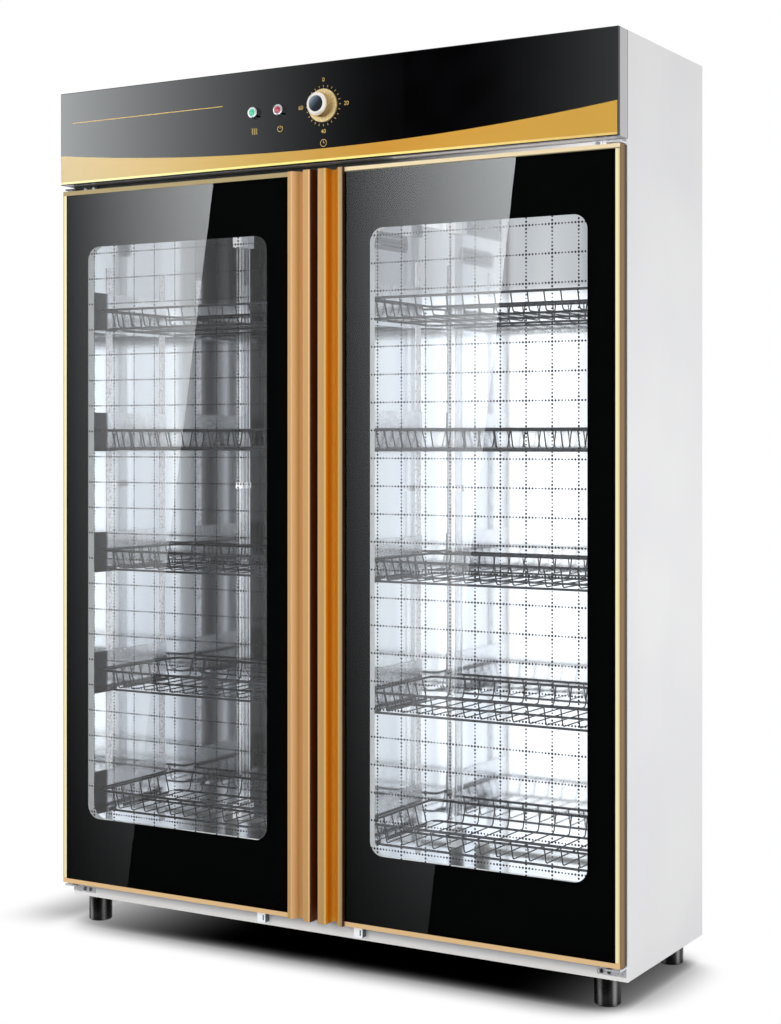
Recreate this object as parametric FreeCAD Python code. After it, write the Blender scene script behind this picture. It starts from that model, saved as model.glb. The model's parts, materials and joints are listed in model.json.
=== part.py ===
"""Free-standing two-door dish sterilizer cabinet, built piece by piece.

Lengths are millimetres. X runs left to right, +Z up, and the front faces -Y. The pieces are drawn
with y = 0 on the front of the closed doors; `save` then moves them so that the origin lies on the
floor, under the middle of the bounding box. A door is drawn for the right side, where x is also
the distance from the cabinet's middle plane, and the left door is its mirror image.
"""
import FreeCAD, Part
import math
import os

Vector = FreeCAD.Vector

# ---- cabinet ------------------------------------------------------------------------------
body_width = 1200.0
body_depth = 348.0
foot_height = 48.6
door_height = 1376.5
sill_height = 30.4            # white strip of the base that shows under the doors
header_height = 182.4
header_gap = 11.5             # slot between the doors and the header, where the top hinges sit
sheet = 1.0
channel_wall = 1.2
flange_width = 24.0           # folded edge of a side panel, and so the depth of the wall cavity
floor_lip = 14.5              # how far the chamber's floor stands above the doors' lower edge
ceiling_lip = 14.5            # how far its ceiling hangs below the doors' upper edge
hem_radius = 2.4

# ---- doors --------------------------------------------------------------------------------
door_thickness = 28.0
door_gap = 5.0                # between a closed door's back and the body's front
meeting_gap = 14.0            # between the two doors
frame_wall = 1.5
frame_face = 8.5              # width of the gold line round the glass
frame_lip = 1.0
glass_thickness = 4.0
glass_clearance = 0.3
mask_thickness = 0.3
rib_clearance = 0.1
rib_thickness = 1.2
window_hinge_side = 61.0      # from the door's hinge side to its window
window_grip_side = 52.0       # from the grip to the window
window_bottom = 134.0         # from the door's lower edge up to its window
window_top = 113.5            # and down from its upper edge
window_radius = 26.0
panel_thickness = 1.2
window_margin = 4.0           # the inner panel's opening is this much larger than the window
flange_clearance = 0.3
gasket_width = 9.0
gasket_thickness = 4.7
gasket_inset = 4.0
gasket_clear = 1.0            # between the seal and the hinge line, so that it swings clear

# ---- door handles: one extrusion each, along the doors' meeting edges -----------------------
lip_width = 18.0
lip_proud = 9.0
recess_width = 25.0
recess_depth = 20.0           # behind the door's front
recess_floor = 4.0
strip_width = 10.0
strip_proud = 6.0
handle_wall = 2.0
glass_grip = 5.5              # how far the strip overlaps the glass
handle_rounding = 2.0

# ---- hinges -------------------------------------------------------------------------------
pivot_inset = 12.0            # hinge line, from the cabinet's side
pin_radius = 3.0
pin_clearance = 0.05
pin_head_radius = 5.0
pin_head_height = 1.5
pin_grip = 12.0               # length of pin inside the door
bracket_thickness = 3.0
bracket_side_gap = 2.0
bracket_top_gap = 6.0         # free height over the top hinge arm, under the header
bottom_arm_gap = 4.0          # between the bottom arm and the door
tab_margin = 9.0              # of a bracket's tab past its inner screw
top_tab_height = 10.0
bottom_tab_height = 18.0
arm_length = 26.0
arm_reach = 10.0              # of the arm in front of the hinge line
bush_flange_radius = 7.5
bush_collar_radius = 5.0
bush_clearance = 0.1
bush_gap = 0.3
block_width = 16.0
block_height = 12.0
block_inset = 0.4
screw_radius = 2.4
screw_clearance = 0.1
screw_head_radius = 4.0
screw_head_height = 2.4
screw_length = 10.0
top_screw_insets = (9.0, 30.0)    # from a side panel's folded edge
bottom_screw_insets = (8.0, 22.0)

# ---- chamber ------------------------------------------------------------------------------
post_depth = 25.0
divider_width = 100.0         # a hollow air duct; the post in front of it is as wide
divider_top_gap = 60.0        # left open under the ceiling, so that the fan draws on both halves
duct_lip = 12.0               # flat edge round the opening in the top of the duct
standard_width = 18.0
standard_thickness = 1.5
standard_ends = (60.0, 130.0) # free wall under and over a standard
standard_setback = (81.0, 257.0)  # of the front and rear standards, from the body's front
slot_width = 4.0
slot_height = 12.0

# ---- racks --------------------------------------------------------------------------------
rack_count = 5
rack_pitch = 242.2
first_rim_height = 253.5      # of the lowest rack's rim, above the ground
rack_height = 38.0            # from the middle of the base wires to the middle of the rim
rack_end_gap = 6.0            # between a rack and the standards
rack_setback = 39.0           # of a rack's front, from the body's front
rack_depth = 256.0
rack_flare = 10.0             # how far the rim stands out past the base, all round
rim_radius = 2.5
base_radius = 2.25
thin_radius = 1.3
weld_bite = 0.5
weld_gap = 0.8                # between a leaning wire's lower end and the wire under it
wire_pitch = 32.0
rail_web = 78.0               # height of a rack rail's upright web, which keeps dishes off the wall
rail_setback = 8.0            # of a rail's front end, from the body's front
rail_thickness = 1.5
rail_end = 11.0               # of a rail, and of its lips, past the middle of a standard
rail_lip = 5.0
rail_lip_gap = 3.0            # between the lip and the rack's end wire
seat_gap = 0.3

# ---- lamps, heaters and air ------------------------------------------------------------------
tube_radius = 7.5
tube_length = 1200.0
tube_middle = 780.0           # height of the tubes' middles
clamp_middle = 865.0          # and of the clamps that steady them
tube_wall_gap = 165.0         # from the chamber's left wall to the tube in the left half
tube_divider_gap = 50.0       # from the divider to the tube in the right half
tube_standoff = 12.0          # from the chamber's back wall to a tube's axis
socket_size = 22.0
socket_length = 30.0
socket_depth = 14.0
tube_clearance = 0.3
clamp_wall = 1.6
clamp_height = 12.0
heater_radius = 6.0
heater_height = 30.0          # of a heater's axis above the floor
heater_end_gap = 30.0
heater_block = 22.0
vent_setback = 142.0          # of a vent's middle, from the body's front
vent_drop = 104.0             # of a vent's middle below the ceiling
vent_length = 150.0
vent_width = 34.0
vent_hole = 2.4
vent_pitch = 8.0
fan_radius = 52.0
fan_hole_clearance = 5.0
fan_depth = 22.0
fan_lift = 8.0                # of the wheel above the ceiling
hub_radius = 12.0
blade_count = 7
blade_thickness = 1.5
blade_tilt = 35.0
fan_shaft_radius = 3.0
motor_radius = 34.0
motor_height = 46.0
motor_plate = 126.0
motor_plate_thickness = 2.0
motor_lift = 12.0             # of the motor's plate above the wheel
motor_leg = 8.0
guard_thickness = 1.0
guard_margin = 8.0
guard_slot = 6.0
guard_pitch = 12.0

# ---- header and controls -------------------------------------------------------------------
fascia_thickness = 8.0
header_depth = 33.0
tray_flange = 15.0
fascia_rounding = 1.5
band_thickness = 0.6
band_middle = 24.5            # height of the gold band at the middle
band_end = 58.5               # and at its ends
control_height = 102.5        # of the knob and lamps, above the fascia's lower edge
knob_x = 20.0
knob_gap = 0.3
skirt_radius = 30.5
skirt_thickness = 4.0
grip_radius = 22.0
grip_length = 18.0
knurl_count = 60
knurl_depth = 0.8
cap_radius = 20.5
cap_length = 4.7
cap_bevel = 2.5
disc_radius = 15.0
disc_recess = 0.6
shaft_radius = 3.0
shaft_clearance = 0.05
shaft_hole_clearance = 1.0
shaft_grip = 14.0             # length of the shaft inside the knob
timer_size = 50.0
timer_depth = 28.0
lamp_x = (-132.0, -75.0)
bezel_radius = 10.4
bezel_proud = 9.0
barrel_radius = 8.0
barrel_clearance = 0.1
barrel_length = 14.0          # behind the fascia's front
lens_radius = 6.5
lens_clearance = 0.2
lens_dome = 1.8

# ---- catches, feet and cord gland -----------------------------------------------------------
catch_x = (-136.0, 77.0)
catch_width = 18.0
catch_depth = 13.0
catch_height = 17.0
catch_drop = 6.0              # of the catch's top below the doors
catch_gap = 0.4
catch_tongue = 6.0
catch_slot = 3.0
foot_radius = 23.0
foot_inset = 48.0             # of a foot's axis from the side
foot_setback = (25.0, 313.0)  # of the foot's axes from the body's front
foot_chamfer = 2.5
foot_stud_radius = 5.0
foot_stud_length = 12.0
foot_stud_clearance = 0.1
gland_inset = 100.0           # from the cabinet's side
gland_height = 120.0
gland_bore_radius = 4.5
gland_body_radius = 9.0
gland_flange_radius = 13.0
gland_flange = 4.0
gland_proud = 12.0
gland_tail = 6.0
gland_clearance = 0.1

# ---- places that follow from the sizes -------------------------------------------------------
half_width = body_width / 2
body_front = door_thickness + door_gap
body_back = body_front + body_depth
body_bottom = foot_height
door_bottom = body_bottom + sill_height
door_top = door_bottom + door_height
header_bottom = door_top + header_gap
body_top = header_bottom + header_height
inside_x = half_width - flange_width
liner_x = inside_x - sheet
floor_z = door_bottom + floor_lip
ceiling_z = door_top - ceiling_lip
panel_back = body_back - sheet
liner_back_y = panel_back - flange_width - sheet
door_edge = meeting_gap / 2
lip_edge = door_edge + lip_width
recess_edge = lip_edge + recess_width
handle_edge = recess_edge + strip_width
glass_edge = handle_edge - glass_grip
glass_back = frame_lip + glass_thickness
rib_front = glass_back + mask_thickness + rib_clearance
rib_back = rib_front + rib_thickness
handle_back_edge = glass_edge + frame_wall
panel_front = door_thickness - panel_thickness
window_x1 = half_width - window_hinge_side
window_x0 = handle_edge + window_grip_side
window_z0 = door_bottom + window_bottom
window_z1 = door_top - window_top
pivot_x = half_width - pivot_inset
pivot_y = door_thickness / 2
tab_edge = half_width - bracket_side_gap
top_arm_z = header_bottom - bracket_top_gap - bracket_thickness
bottom_arm_z = door_bottom - bottom_arm_gap - bracket_thickness
post_back = body_front + post_depth
divider_x = divider_width / 2
divider_top = ceiling_z - divider_top_gap
vent_y = body_front + vent_setback
vent_z = ceiling_z - vent_drop
standard_z0 = floor_z + standard_ends[0]
standard_z1 = ceiling_z - standard_ends[1]
rack_x0 = divider_x + standard_thickness + rack_end_gap
rack_x1 = liner_x - standard_thickness - rack_end_gap
rack_front = body_front + rack_setback
tube_x = (tube_wall_gap - liner_x, divider_x + tube_divider_gap)
tube_y = liner_back_y - tube_standoff
fascia_front = -fascia_thickness
control_z = header_bottom + control_height
fan_y = (post_back + liner_back_y) / 2
knob_front = fascia_front - knob_gap - skirt_thickness - grip_length - cap_length
gland_x = half_width - gland_inset
gland_back = body_back + gland_proud
frame_y = -(knob_front + gland_back) / 2


# ---- plain shapes ---------------------------------------------------------------------------
def box(x0, x1, y0, y1, z0, z1):
    """Block between pairs of planes."""
    return Part.makeBox(x1 - x0, y1 - y0, z1 - z0, Vector(x0, y0, z0))


def rod(radius, start, end):
    """Round bar between two points."""
    axis = Vector(*end) - Vector(*start)
    return Part.makeCylinder(radius, axis.Length, Vector(*start), axis)


def rounded_wire(corners, place):
    """Closed outline through corners (a, b, radius); `place` puts (a, b) into space."""
    corners_3d = [Vector(*place(a, b)) for a, b, radius in corners]
    turns = []
    for i, here in enumerate(corners_3d):
        radius = corners[i][2]
        if not radius:
            turns.append((here, here, here))
            continue
        back = (corners_3d[i - 1] - here).normalize()
        onward = (corners_3d[(i + 1) % len(corners)] - here).normalize()
        half = back.getAngle(onward) / 2
        reach = radius / math.tan(half)
        middle = here + (back + onward).normalize() * (radius / math.sin(half) - radius)
        turns.append((here + back * reach, middle, here + onward * reach))
    edges = []
    for (start, middle, end), following in zip(turns, turns[1:] + turns[:1]):
        if start != end:
            edges.append(Part.Arc(start, middle, end).toShape())
        edges.append(Part.LineSegment(end, following[0]).toShape())
    return Part.Wire(edges)


def prism_z(corners, z0, z1):
    """Outline in x and y, drawn upwards."""
    wire = rounded_wire(corners, lambda a, b: (a, b, z0))
    return Part.Face(wire).extrude(Vector(0, 0, z1 - z0))


def prism_x(corners, x0, x1):
    """Outline in y and z, drawn to the right."""
    wire = rounded_wire(corners, lambda a, b: (x0, a, b))
    return Part.Face(wire).extrude(Vector(x1 - x0, 0, 0))


def prism_y(corners, y0, y1):
    """Outline in x and z, drawn backwards."""
    wire = rounded_wire(corners, lambda a, b: (a, y0, b))
    return Part.Face(wire).extrude(Vector(0, y1 - y0, 0))


def rectangle(a0, a1, b0, b1, radius=0):
    """Corners of a rectangle with rounded corners."""
    return [(a0, b0, radius), (a1, b0, radius), (a1, b1, radius), (a0, b1, radius)]


def mirrored(shape):
    """The same shape on the other side of the middle plane."""
    return shape.mirror(Vector(0, 0, 0), Vector(1, 0, 0))


def both_sides(shapes):
    """The shapes and their mirror images."""
    return list(shapes) + [mirrored(shape) for shape in shapes]


def save(node, *shapes):
    """Write one node, moved into the part's own frame."""
    group = shapes[0] if len(shapes) == 1 else Part.makeCompound(list(shapes))
    group = group.copy()
    group.translate(Vector(0, frame_y, 0))
    group.exportStep("parts/" + node + ".step")


# ---- body -------------------------------------------------------------------------------------
def side_panel():
    """Outer skin with its four edges folded inwards."""
    z1 = body_top - sheet
    skin = box(inside_x, half_width, body_front, panel_back, body_bottom, z1)
    hems = [edge for edge in skin.Edges if edge.Length > body_depth
            and edge.BoundBox.XMin > half_width - sheet and edge.BoundBox.YMax < body_front + sheet]
    skin = skin.makeFillet(hem_radius, hems)
    hollow = box(inside_x - sheet, half_width - sheet, body_front + sheet, panel_back - sheet,
                 body_bottom + sheet, z1 - sheet)
    return skin.cut(hollow)


def top_cover():
    return box(-half_width, half_width, body_front, panel_back, body_top - sheet, body_top)


def back_panel():
    panel = box(-half_width, half_width, panel_back, body_back, body_bottom, body_top)
    hole = rod(gland_body_radius + gland_clearance, (gland_x, panel_back - sheet, gland_height),
               (gland_x, body_back + sheet, gland_height))
    return panel.cut(hole)


def foot_places():
    """The four feet's axes."""
    x = half_width - foot_inset
    return [(side * x, body_front + setback) for side in (-1, 1) for setback in foot_setback]


def base_pan():
    """Open tray under the chamber; its front wall is the sill under the doors."""
    top = floor_z - sheet
    pan = box(-inside_x, inside_x, body_front, panel_back, body_bottom, top)
    wall = frame_wall
    hollow = box(-inside_x + wall, inside_x - wall, body_front + wall, panel_back - wall,
                 body_bottom + wall, top + wall)
    holes = [rod(foot_stud_radius + foot_stud_clearance, (x, y, 0), (x, y, floor_z))
             for x, y in foot_places()]
    reach = body_front + channel_wall + screw_length
    holes += [rod(screw_radius + screw_clearance, (side * x, body_front - sheet, z),
                  (side * x, reach, z))
              for side in (-1, 1) for x, z in bottom_screws()]
    return pan.cut(Part.makeCompound([hollow] + holes))


def channel(x0, x1, y0, y1, z0, z1, open_ends):
    """Folded sheet post or rail, open at both ends along one axis."""
    wall = channel_wall
    grow = {axis: wall if axis == open_ends else -wall for axis in "xz"}
    hollow = box(x0 - grow["x"], x1 + grow["x"], y0 + wall, y1 - wall,
                 z0 - grow["z"], z1 + grow["z"])
    return box(x0, x1, y0, y1, z0, z1).cut(hollow)


def front_frame():
    """Rail over the doors and post between them."""
    rail_top = header_bottom - bush_gap
    rail = channel(-inside_x, inside_x, body_front, post_back, ceiling_z + sheet, rail_top, "x")
    holes = [rod(screw_radius + screw_clearance, (side * x, body_front - sheet, z),
                 (side * x, body_front + channel_wall + sheet, z))
             for side in (-1, 1) for x, z in top_screws()]
    post = channel(-divider_x, divider_x, body_front, post_back, floor_z, ceiling_z, "z")
    return rail.cut(Part.makeCompound(holes)), post


def feet():
    """Round plastic feet with studs that screw into the base."""
    shapes = []
    for x, y in foot_places():
        foot = Part.makeCylinder(foot_radius, foot_height, Vector(x, y, 0))
        rims = [edge for edge in foot.Edges if edge.BoundBox.ZMax < foot_height / 2]
        foot = foot.makeChamfer(foot_chamfer, rims)
        stud = Part.makeCylinder(foot_stud_radius, foot_stud_length, Vector(x, y, foot_height))
        shapes.append(foot.fuse(stud))
    return shapes


def cord_gland():
    """Strain relief for a supply cord, low on the back."""
    def barrel(radius, y0, y1):
        return rod(radius, (gland_x, y0, gland_height), (gland_x, y1, gland_height))
    body = barrel(gland_body_radius, panel_back - gland_tail, gland_back)
    flange = barrel(gland_flange_radius, body_back, body_back + gland_flange)
    bore = barrel(gland_bore_radius, panel_back - gland_tail - sheet, gland_back + sheet)
    return body.fuse(flange).cut(bore)


# ---- chamber ---------------------------------------------------------------------------------
def liner_side():
    return box(liner_x, inside_x, body_front, liner_back_y, floor_z - sheet, ceiling_z + sheet)


def liner_back():
    return box(-inside_x, inside_x, liner_back_y, liner_back_y + sheet, floor_z - sheet,
               ceiling_z + sheet)


def liner_ceiling():
    wall = box(-liner_x, liner_x, body_front, liner_back_y, ceiling_z, ceiling_z + sheet)
    hole = Part.makeCylinder(fan_radius + fan_hole_clearance, 3 * sheet,
                             Vector(0, fan_y, ceiling_z - sheet))
    return wall.cut(hole)


def liner_floor():
    return box(-liner_x, liner_x, body_front, liner_back_y, floor_z - sheet, floor_z)


def vent_corners(inset):
    """Outline of a vent in the divider's side, in y and z."""
    half_length = vent_length / 2 - inset
    half_height = vent_width / 2 - inset
    return rectangle(vent_y - half_length, vent_y + half_length, vent_z - half_height,
                     vent_z + half_height, half_height - sheet)


def centre_divider():
    """Hollow duct between the two halves of the chamber, open at the top and at its vents."""
    wall = box(-divider_x, divider_x, post_back, liner_back_y, floor_z, divider_top)
    hollow = box(-divider_x + sheet, divider_x - sheet, post_back - sheet, liner_back_y + sheet,
                 floor_z - sheet, divider_top - sheet)
    mouth = box(-divider_x + duct_lip, divider_x - duct_lip, post_back + duct_lip,
                liner_back_y - duct_lip, divider_top - 2 * sheet, divider_top + sheet)
    vents = prism_x(vent_corners(vent_pitch / 2), -divider_x - sheet, divider_x + sheet)
    return wall.cut(Part.makeCompound([hollow, mouth, vents]))


def shelf_standards():
    """Slotted strips on both sides of each half; the rack rails hook into their slots."""
    shapes = []
    step = rack_pitch / 6
    for x in (divider_x, liner_x - standard_thickness):
        for setback in standard_setback:
            y = body_front + setback
            strip = box(x, x + standard_thickness, y - standard_width / 2,
                        y + standard_width / 2, standard_z0, standard_z1)
            slots = []
            z = rail_top(0)
            while z + slot_height < standard_z1:
                slots.append(box(x - sheet, x + standard_thickness + sheet, y - slot_width / 2,
                                 y + slot_width / 2, z - slot_height / 2, z + slot_height / 2))
                z += step
            shapes.append(strip.cut(Part.makeCompound(slots)))
    return both_sides(shapes)


def rim_z(level):
    return first_rim_height + level * rack_pitch


def rail_top(level):
    """Top of the ledges that carry a rack."""
    return rim_z(level) - rack_height - base_radius - seat_gap


def rack_rails():
    """Two bent rails under each rack, held by a front and a rear standard.

    The rack's end wire lies on the ledge, and a low lip at each standard keeps the rack from
    sliding sideways.
    """
    shapes = []
    standards = [body_front + setback for setback in standard_setback]
    y0 = body_front + rail_setback
    y1 = standards[1] + rail_end
    reach = rack_end_gap + rim_radius + rack_flare + base_radius + rail_lip_gap + rail_thickness
    walls = ((divider_x + standard_thickness, 1), (liner_x - standard_thickness, -1))
    for level in range(rack_count):
        top = rail_top(level)
        low = top - rail_thickness
        for wall, inwards in walls:
            def slab(near, far, start, end, z0, z1):
                places = sorted((wall + inwards * near, wall + inwards * far))
                return box(places[0], places[1], start, end, z0, z1)
            web = slab(0, rail_thickness, y0, y1, low, low + rail_web)
            ledge = slab(0, reach, y0, y1, low, top)
            lips = [slab(reach - rail_thickness, reach, y - rail_end, y + rail_end, low,
                         top + rail_lip) for y in standards]
            shapes.append(web.fuse([ledge] + lips).removeSplitter())
    return both_sides(shapes)


def spread(start, end, pitch):
    """Even places between two ends, as near the pitch as they allow, both ends left out."""
    count = max(2, round((end - start) / pitch))
    return [start + (end - start) * i / count for i in range(1, count)]


def rack():
    """One wire rack of the right half, its rim at z = 0, as five flat grilles.

    The rim stands out past the base, so that the front, back and ends slope.
    """
    x0, x1 = rack_x0 + rim_radius, rack_x1 - rim_radius
    y0, y1 = rack_front, rack_front + rack_depth
    low_x0, low_x1 = x0 + rack_flare, x1 - rack_flare
    low_y0, low_y1 = y0 + rack_flare, y1 - rack_flare
    base = -rack_height
    thin_z = base + base_radius + thin_radius - weld_bite
    stub_z = thin_z + thin_radius + weld_gap
    columns = spread(low_x0, low_x1, wire_pitch)
    rows = spread(low_y0, low_y1, wire_pitch)

    rails = [rod(base_radius, (low_x0 - base_radius, y, base), (low_x1 + base_radius, y, base))
             for y in (low_y0, (low_y0 + low_y1) / 2, low_y1)]
    ends = [rod(base_radius, (x, low_y0, base), (x, low_y1, base)) for x in (low_x0, low_x1)]
    bars = [rod(thin_radius, (x, low_y0 - thin_radius, thin_z), (x, low_y1 + thin_radius, thin_z))
            for x in columns]
    shapes = [rails[0].fuse(rails[1:] + ends + bars)]
    for y, low_y in ((y0, low_y0), (y1, low_y1)):
        rim = rod(rim_radius, (x0 - rim_radius, y, 0), (x1 + rim_radius, y, 0))
        stubs = [rod(thin_radius, (x, low_y, stub_z), (x, y, 0)) for x in columns]
        shapes.append(rim.fuse(stubs))
    for x, low_x in ((x0, low_x0), (x1, low_x1)):
        rim = rod(rim_radius, (x, y0 + rim_radius, 0), (x, y1 - rim_radius, 0))
        low_z = base + base_radius + weld_gap
        shapes.append(rim.fuse([rod(thin_radius, (low_x, y, low_z), (x, y, 0)) for y in rows]))
    return Part.makeCompound(shapes)


def save_racks():
    pattern = rack()
    for side, shape in (("right", pattern), ("left", mirrored(pattern))):
        for level in range(rack_count):
            placed = shape.copy()
            placed.translate(Vector(0, 0, rim_z(level)))
            save("rack_%s_%d" % (side, level + 1), placed)


# ---- lamps, heaters and air -----------------------------------------------------------------
def tube_ends():
    return tube_middle - tube_length / 2, tube_middle + tube_length / 2


def uv_tubes():
    z0, z1 = tube_ends()
    return [rod(tube_radius, (x, tube_y, z0), (x, tube_y, z1)) for x in tube_x]


def uv_lamp_holders():
    """Two end sockets and a middle clamp for each tube, fixed to the back wall."""
    z0, z1 = tube_ends()
    fit = tube_radius + tube_clearance
    half = socket_size / 2
    shapes = []
    for x in tube_x:
        for low, high in ((z0 + socket_depth - socket_length, z0 + socket_depth),
                          (z1 - socket_depth, z1 - socket_depth + socket_length)):
            socket = box(x - half, x + half, tube_y - half, liner_back_y, low, high)
            shapes.append(socket.cut(rod(fit, (x, tube_y, z0 - tube_clearance),
                                         (x, tube_y, z1 + tube_clearance))))
        low = clamp_middle - clamp_height / 2
        high = clamp_middle + clamp_height / 2
        clamp = rod(fit + clamp_wall, (x, tube_y, low), (x, tube_y, high))
        neck = box(x - clamp_wall, x + clamp_wall, tube_y, liner_back_y, low, high)
        foot = box(x - half, x + half, liner_back_y - clamp_wall, liner_back_y, low, high)
        bore = rod(fit, (x, tube_y, low - sheet), (x, tube_y, high + sheet))
        shapes.append(clamp.fuse([neck, foot]).cut(bore))
    return shapes


def heater_elements():
    """One far-infrared heater rod low in each half, on a block at each end."""
    x0 = divider_x + heater_end_gap
    x1 = liner_x - heater_end_gap
    z = floor_z + heater_height
    half = heater_block / 2
    tube = rod(heater_radius, (x0, fan_y, z), (x1, fan_y, z))
    blocks = [box(x - half, x + half, fan_y - half, fan_y + half, floor_z, z + half)
              for x in (x0, x1)]
    return both_sides([tube.fuse(blocks)])


def vent_grilles():
    """Perforated plates over the vents in both sides of the divider."""
    plate = prism_x(vent_corners(0), divider_x, divider_x + sheet)
    holes = []
    reach = vent_length / 2 - vent_pitch
    rows = int((vent_width / 2 - vent_pitch / 2) / vent_pitch)
    for row in range(-rows, rows + 1):
        count = int(2 * (reach - abs(row) * vent_pitch / 2) / vent_pitch)
        for i in range(count + 1):
            y = vent_y + (i - count / 2) * vent_pitch
            z = vent_z + row * vent_pitch
            holes.append(rod(vent_hole, (divider_x - sheet, y, z), (divider_x + 2 * sheet, y, z)))
    return both_sides([plate.cut(Part.makeCompound(holes))])


def fan_levels():
    """Bottom and top of the fan wheel, and the underside of the motor's plate."""
    low = ceiling_z + sheet + fan_lift
    return low, low + fan_depth, low + fan_depth + motor_lift


def fan_motor():
    """Motor on a plate with four legs that stand on the ceiling."""
    low, high, plate_z = fan_levels()
    half = motor_plate / 2
    plate_top = plate_z + motor_plate_thickness
    plate = box(-half, half, fan_y - half, fan_y + half, plate_z, plate_top)
    legs = []
    for sx in (-1, 1):
        for sy in (-1, 1):
            x = sx * (half - motor_leg / 2)
            y = fan_y + sy * (half - motor_leg / 2)
            legs.append(box(x - motor_leg / 2, x + motor_leg / 2, y - motor_leg / 2,
                            y + motor_leg / 2, ceiling_z + sheet, plate_z))
    can = rod(motor_radius, (0, fan_y, plate_top), (0, fan_y, plate_top + motor_height))
    bore = rod(fan_shaft_radius + shaft_clearance, (0, fan_y, plate_z - sheet),
               (0, fan_y, plate_top + motor_height / 2))
    return plate.fuse(legs + [can]).cut(bore)


def fan_wheel():
    """Tilted blades round a hub, with the shaft that turns in the motor."""
    low, high, plate_z = fan_levels()
    middle = (low + high) / 2
    chord = fan_depth / math.cos(math.radians(90 - blade_tilt)) * 0.9
    wheel = rod(hub_radius, (0, 0, low), (0, 0, high))
    tip = rod(fan_radius, (0, 0, low), (0, 0, high))
    blades = []
    for i in range(blade_count):
        blade = box(hub_radius / 2, fan_radius, -chord / 2, chord / 2,
                    middle - blade_thickness / 2, middle + blade_thickness / 2)
        blade.rotate(Vector(0, 0, middle), Vector(1, 0, 0), blade_tilt)
        blade.rotate(Vector(0, 0, middle), Vector(0, 0, 1), 360 * i / blade_count)
        blades.append(blade.common(tip))
    shaft = rod(fan_shaft_radius, (0, 0, middle),
                (0, 0, plate_z + motor_plate_thickness + motor_height / 2 - sheet))
    wheel = wheel.fuse(blades + [shaft])
    wheel.translate(Vector(0, fan_y, 0))
    return wheel


def fan_guard():
    """Round slotted plate under the fan's opening."""
    radius = fan_radius + fan_hole_clearance + guard_margin
    z0 = ceiling_z - guard_thickness
    plate = rod(radius, (0, fan_y, z0), (0, fan_y, ceiling_z))
    slots = []
    y = -fan_radius + guard_pitch / 2
    while y < fan_radius:
        reach = math.sqrt(fan_radius ** 2 - y ** 2)
        slots.append(box(-reach, reach, fan_y + y - guard_slot / 2, fan_y + y + guard_slot / 2,
                         z0 - sheet, ceiling_z + sheet))
        y += guard_pitch
    return plate.cut(Part.makeCompound(slots))


# ---- doors ------------------------------------------------------------------------------------
def ring(outer, inner, y0, y1):
    """Flat frame between two outlines."""
    return prism_y(outer, y0, y1).cut(prism_y(inner, y0, y1))


def door_frame():
    """Hinge stile and two rails: one channel section, mitred at the hinge side's corners."""
    x0, x1 = handle_edge, half_width
    z0, z1 = door_bottom, door_top

    def layer(width, y0, y1):
        outer = box(x0, x1, y0, y1, z0, z1)
        return outer.cut(box(x0 - width, x1 - width, y0, y1, z0 + width, z1 - width))
    section = layer(frame_wall, 0, door_thickness).fuse([
        layer(frame_face, 0, frame_lip),
        layer(frame_face, rib_front, rib_back),
        layer(frame_face, door_thickness - frame_wall, door_thickness)])
    section = section.cut(Part.makeCompound([
        rod(bush_collar_radius, (pivot_x, pivot_y, z), (pivot_x, pivot_y, z + 2 * frame_wall))
        for z in (z0 - frame_wall, z1 - frame_wall)])).removeSplitter()
    deep = 2 * frame_face
    stile = [(x1, z0, 0), (x1, z1, 0), (x1 - deep, z1 - deep, 0), (x1 - deep, z0 + deep, 0)]
    lower = [(x1, z0, 0), (x1 - deep, z0 + deep, 0), (x0, z0 + deep, 0), (x0, z0, 0)]
    upper = [(x1, z1, 0), (x1 - deep, z1 - deep, 0), (x0, z1 - deep, 0), (x0, z1, 0)]
    return [section.common(prism_y(part, 0, door_thickness)) for part in (stile, lower, upper)]


def door_handle():
    """Hollow extrusion: raised lip, sloping finger recess and a strip over the glass edge."""
    wall = handle_wall
    slope_start = lip_edge + recess_floor
    slope = math.hypot(recess_edge - slope_start, recess_depth + strip_proud)
    shift = wall * (recess_depth + strip_proud) / slope
    outline = [
        (door_edge, -lip_proud, handle_rounding), (lip_edge, -lip_proud, handle_rounding),
        (lip_edge, recess_depth, handle_rounding), (slope_start, recess_depth, handle_rounding),
        (recess_edge, -strip_proud, handle_rounding / 2),
        (handle_edge, -strip_proud, handle_rounding / 2),
        (handle_edge, frame_lip, 0), (glass_edge, frame_lip, 0), (glass_edge, rib_front, 0),
        (handle_edge, rib_front, 0), (handle_edge, rib_back, 0), (handle_back_edge, rib_back, 0),
        (handle_back_edge, door_thickness, 0), (door_edge, door_thickness, 0)]
    lip_hollow = rectangle(door_edge + wall, lip_edge - wall, -lip_proud + wall,
                           door_thickness - wall)
    slope_hollow = [
        (lip_edge + wall, recess_depth + wall, 0),
        (slope_start + shift, recess_depth + wall, 0),
        (recess_edge + shift, -strip_proud + 1.5 * wall, 0),
        (glass_edge - wall, -strip_proud + 1.5 * wall, 0),
        (glass_edge - wall, door_thickness - wall, 0), (lip_edge + wall, door_thickness - wall, 0)]
    bar = prism_z(outline, door_bottom, door_top)
    return bar.cut(Part.makeCompound([
        prism_z(hollow, door_bottom - wall, door_top + wall)
        for hollow in (lip_hollow, slope_hollow)]))


def glass_corners():
    inset = frame_wall + glass_clearance
    return rectangle(glass_edge + glass_clearance, half_width - inset, door_bottom + inset,
                     door_top - inset)


def window_corners(margin):
    return rectangle(window_x0 - margin, window_x1 + margin, window_z0 - margin,
                     window_z1 + margin, window_radius + margin)


def door_glass():
    return prism_y(glass_corners(), frame_lip, glass_back)


def door_mask():
    """Black enamel on the back of the glass, round the clear window."""
    return ring(glass_corners(), window_corners(0), glass_back, glass_back + mask_thickness)


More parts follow.
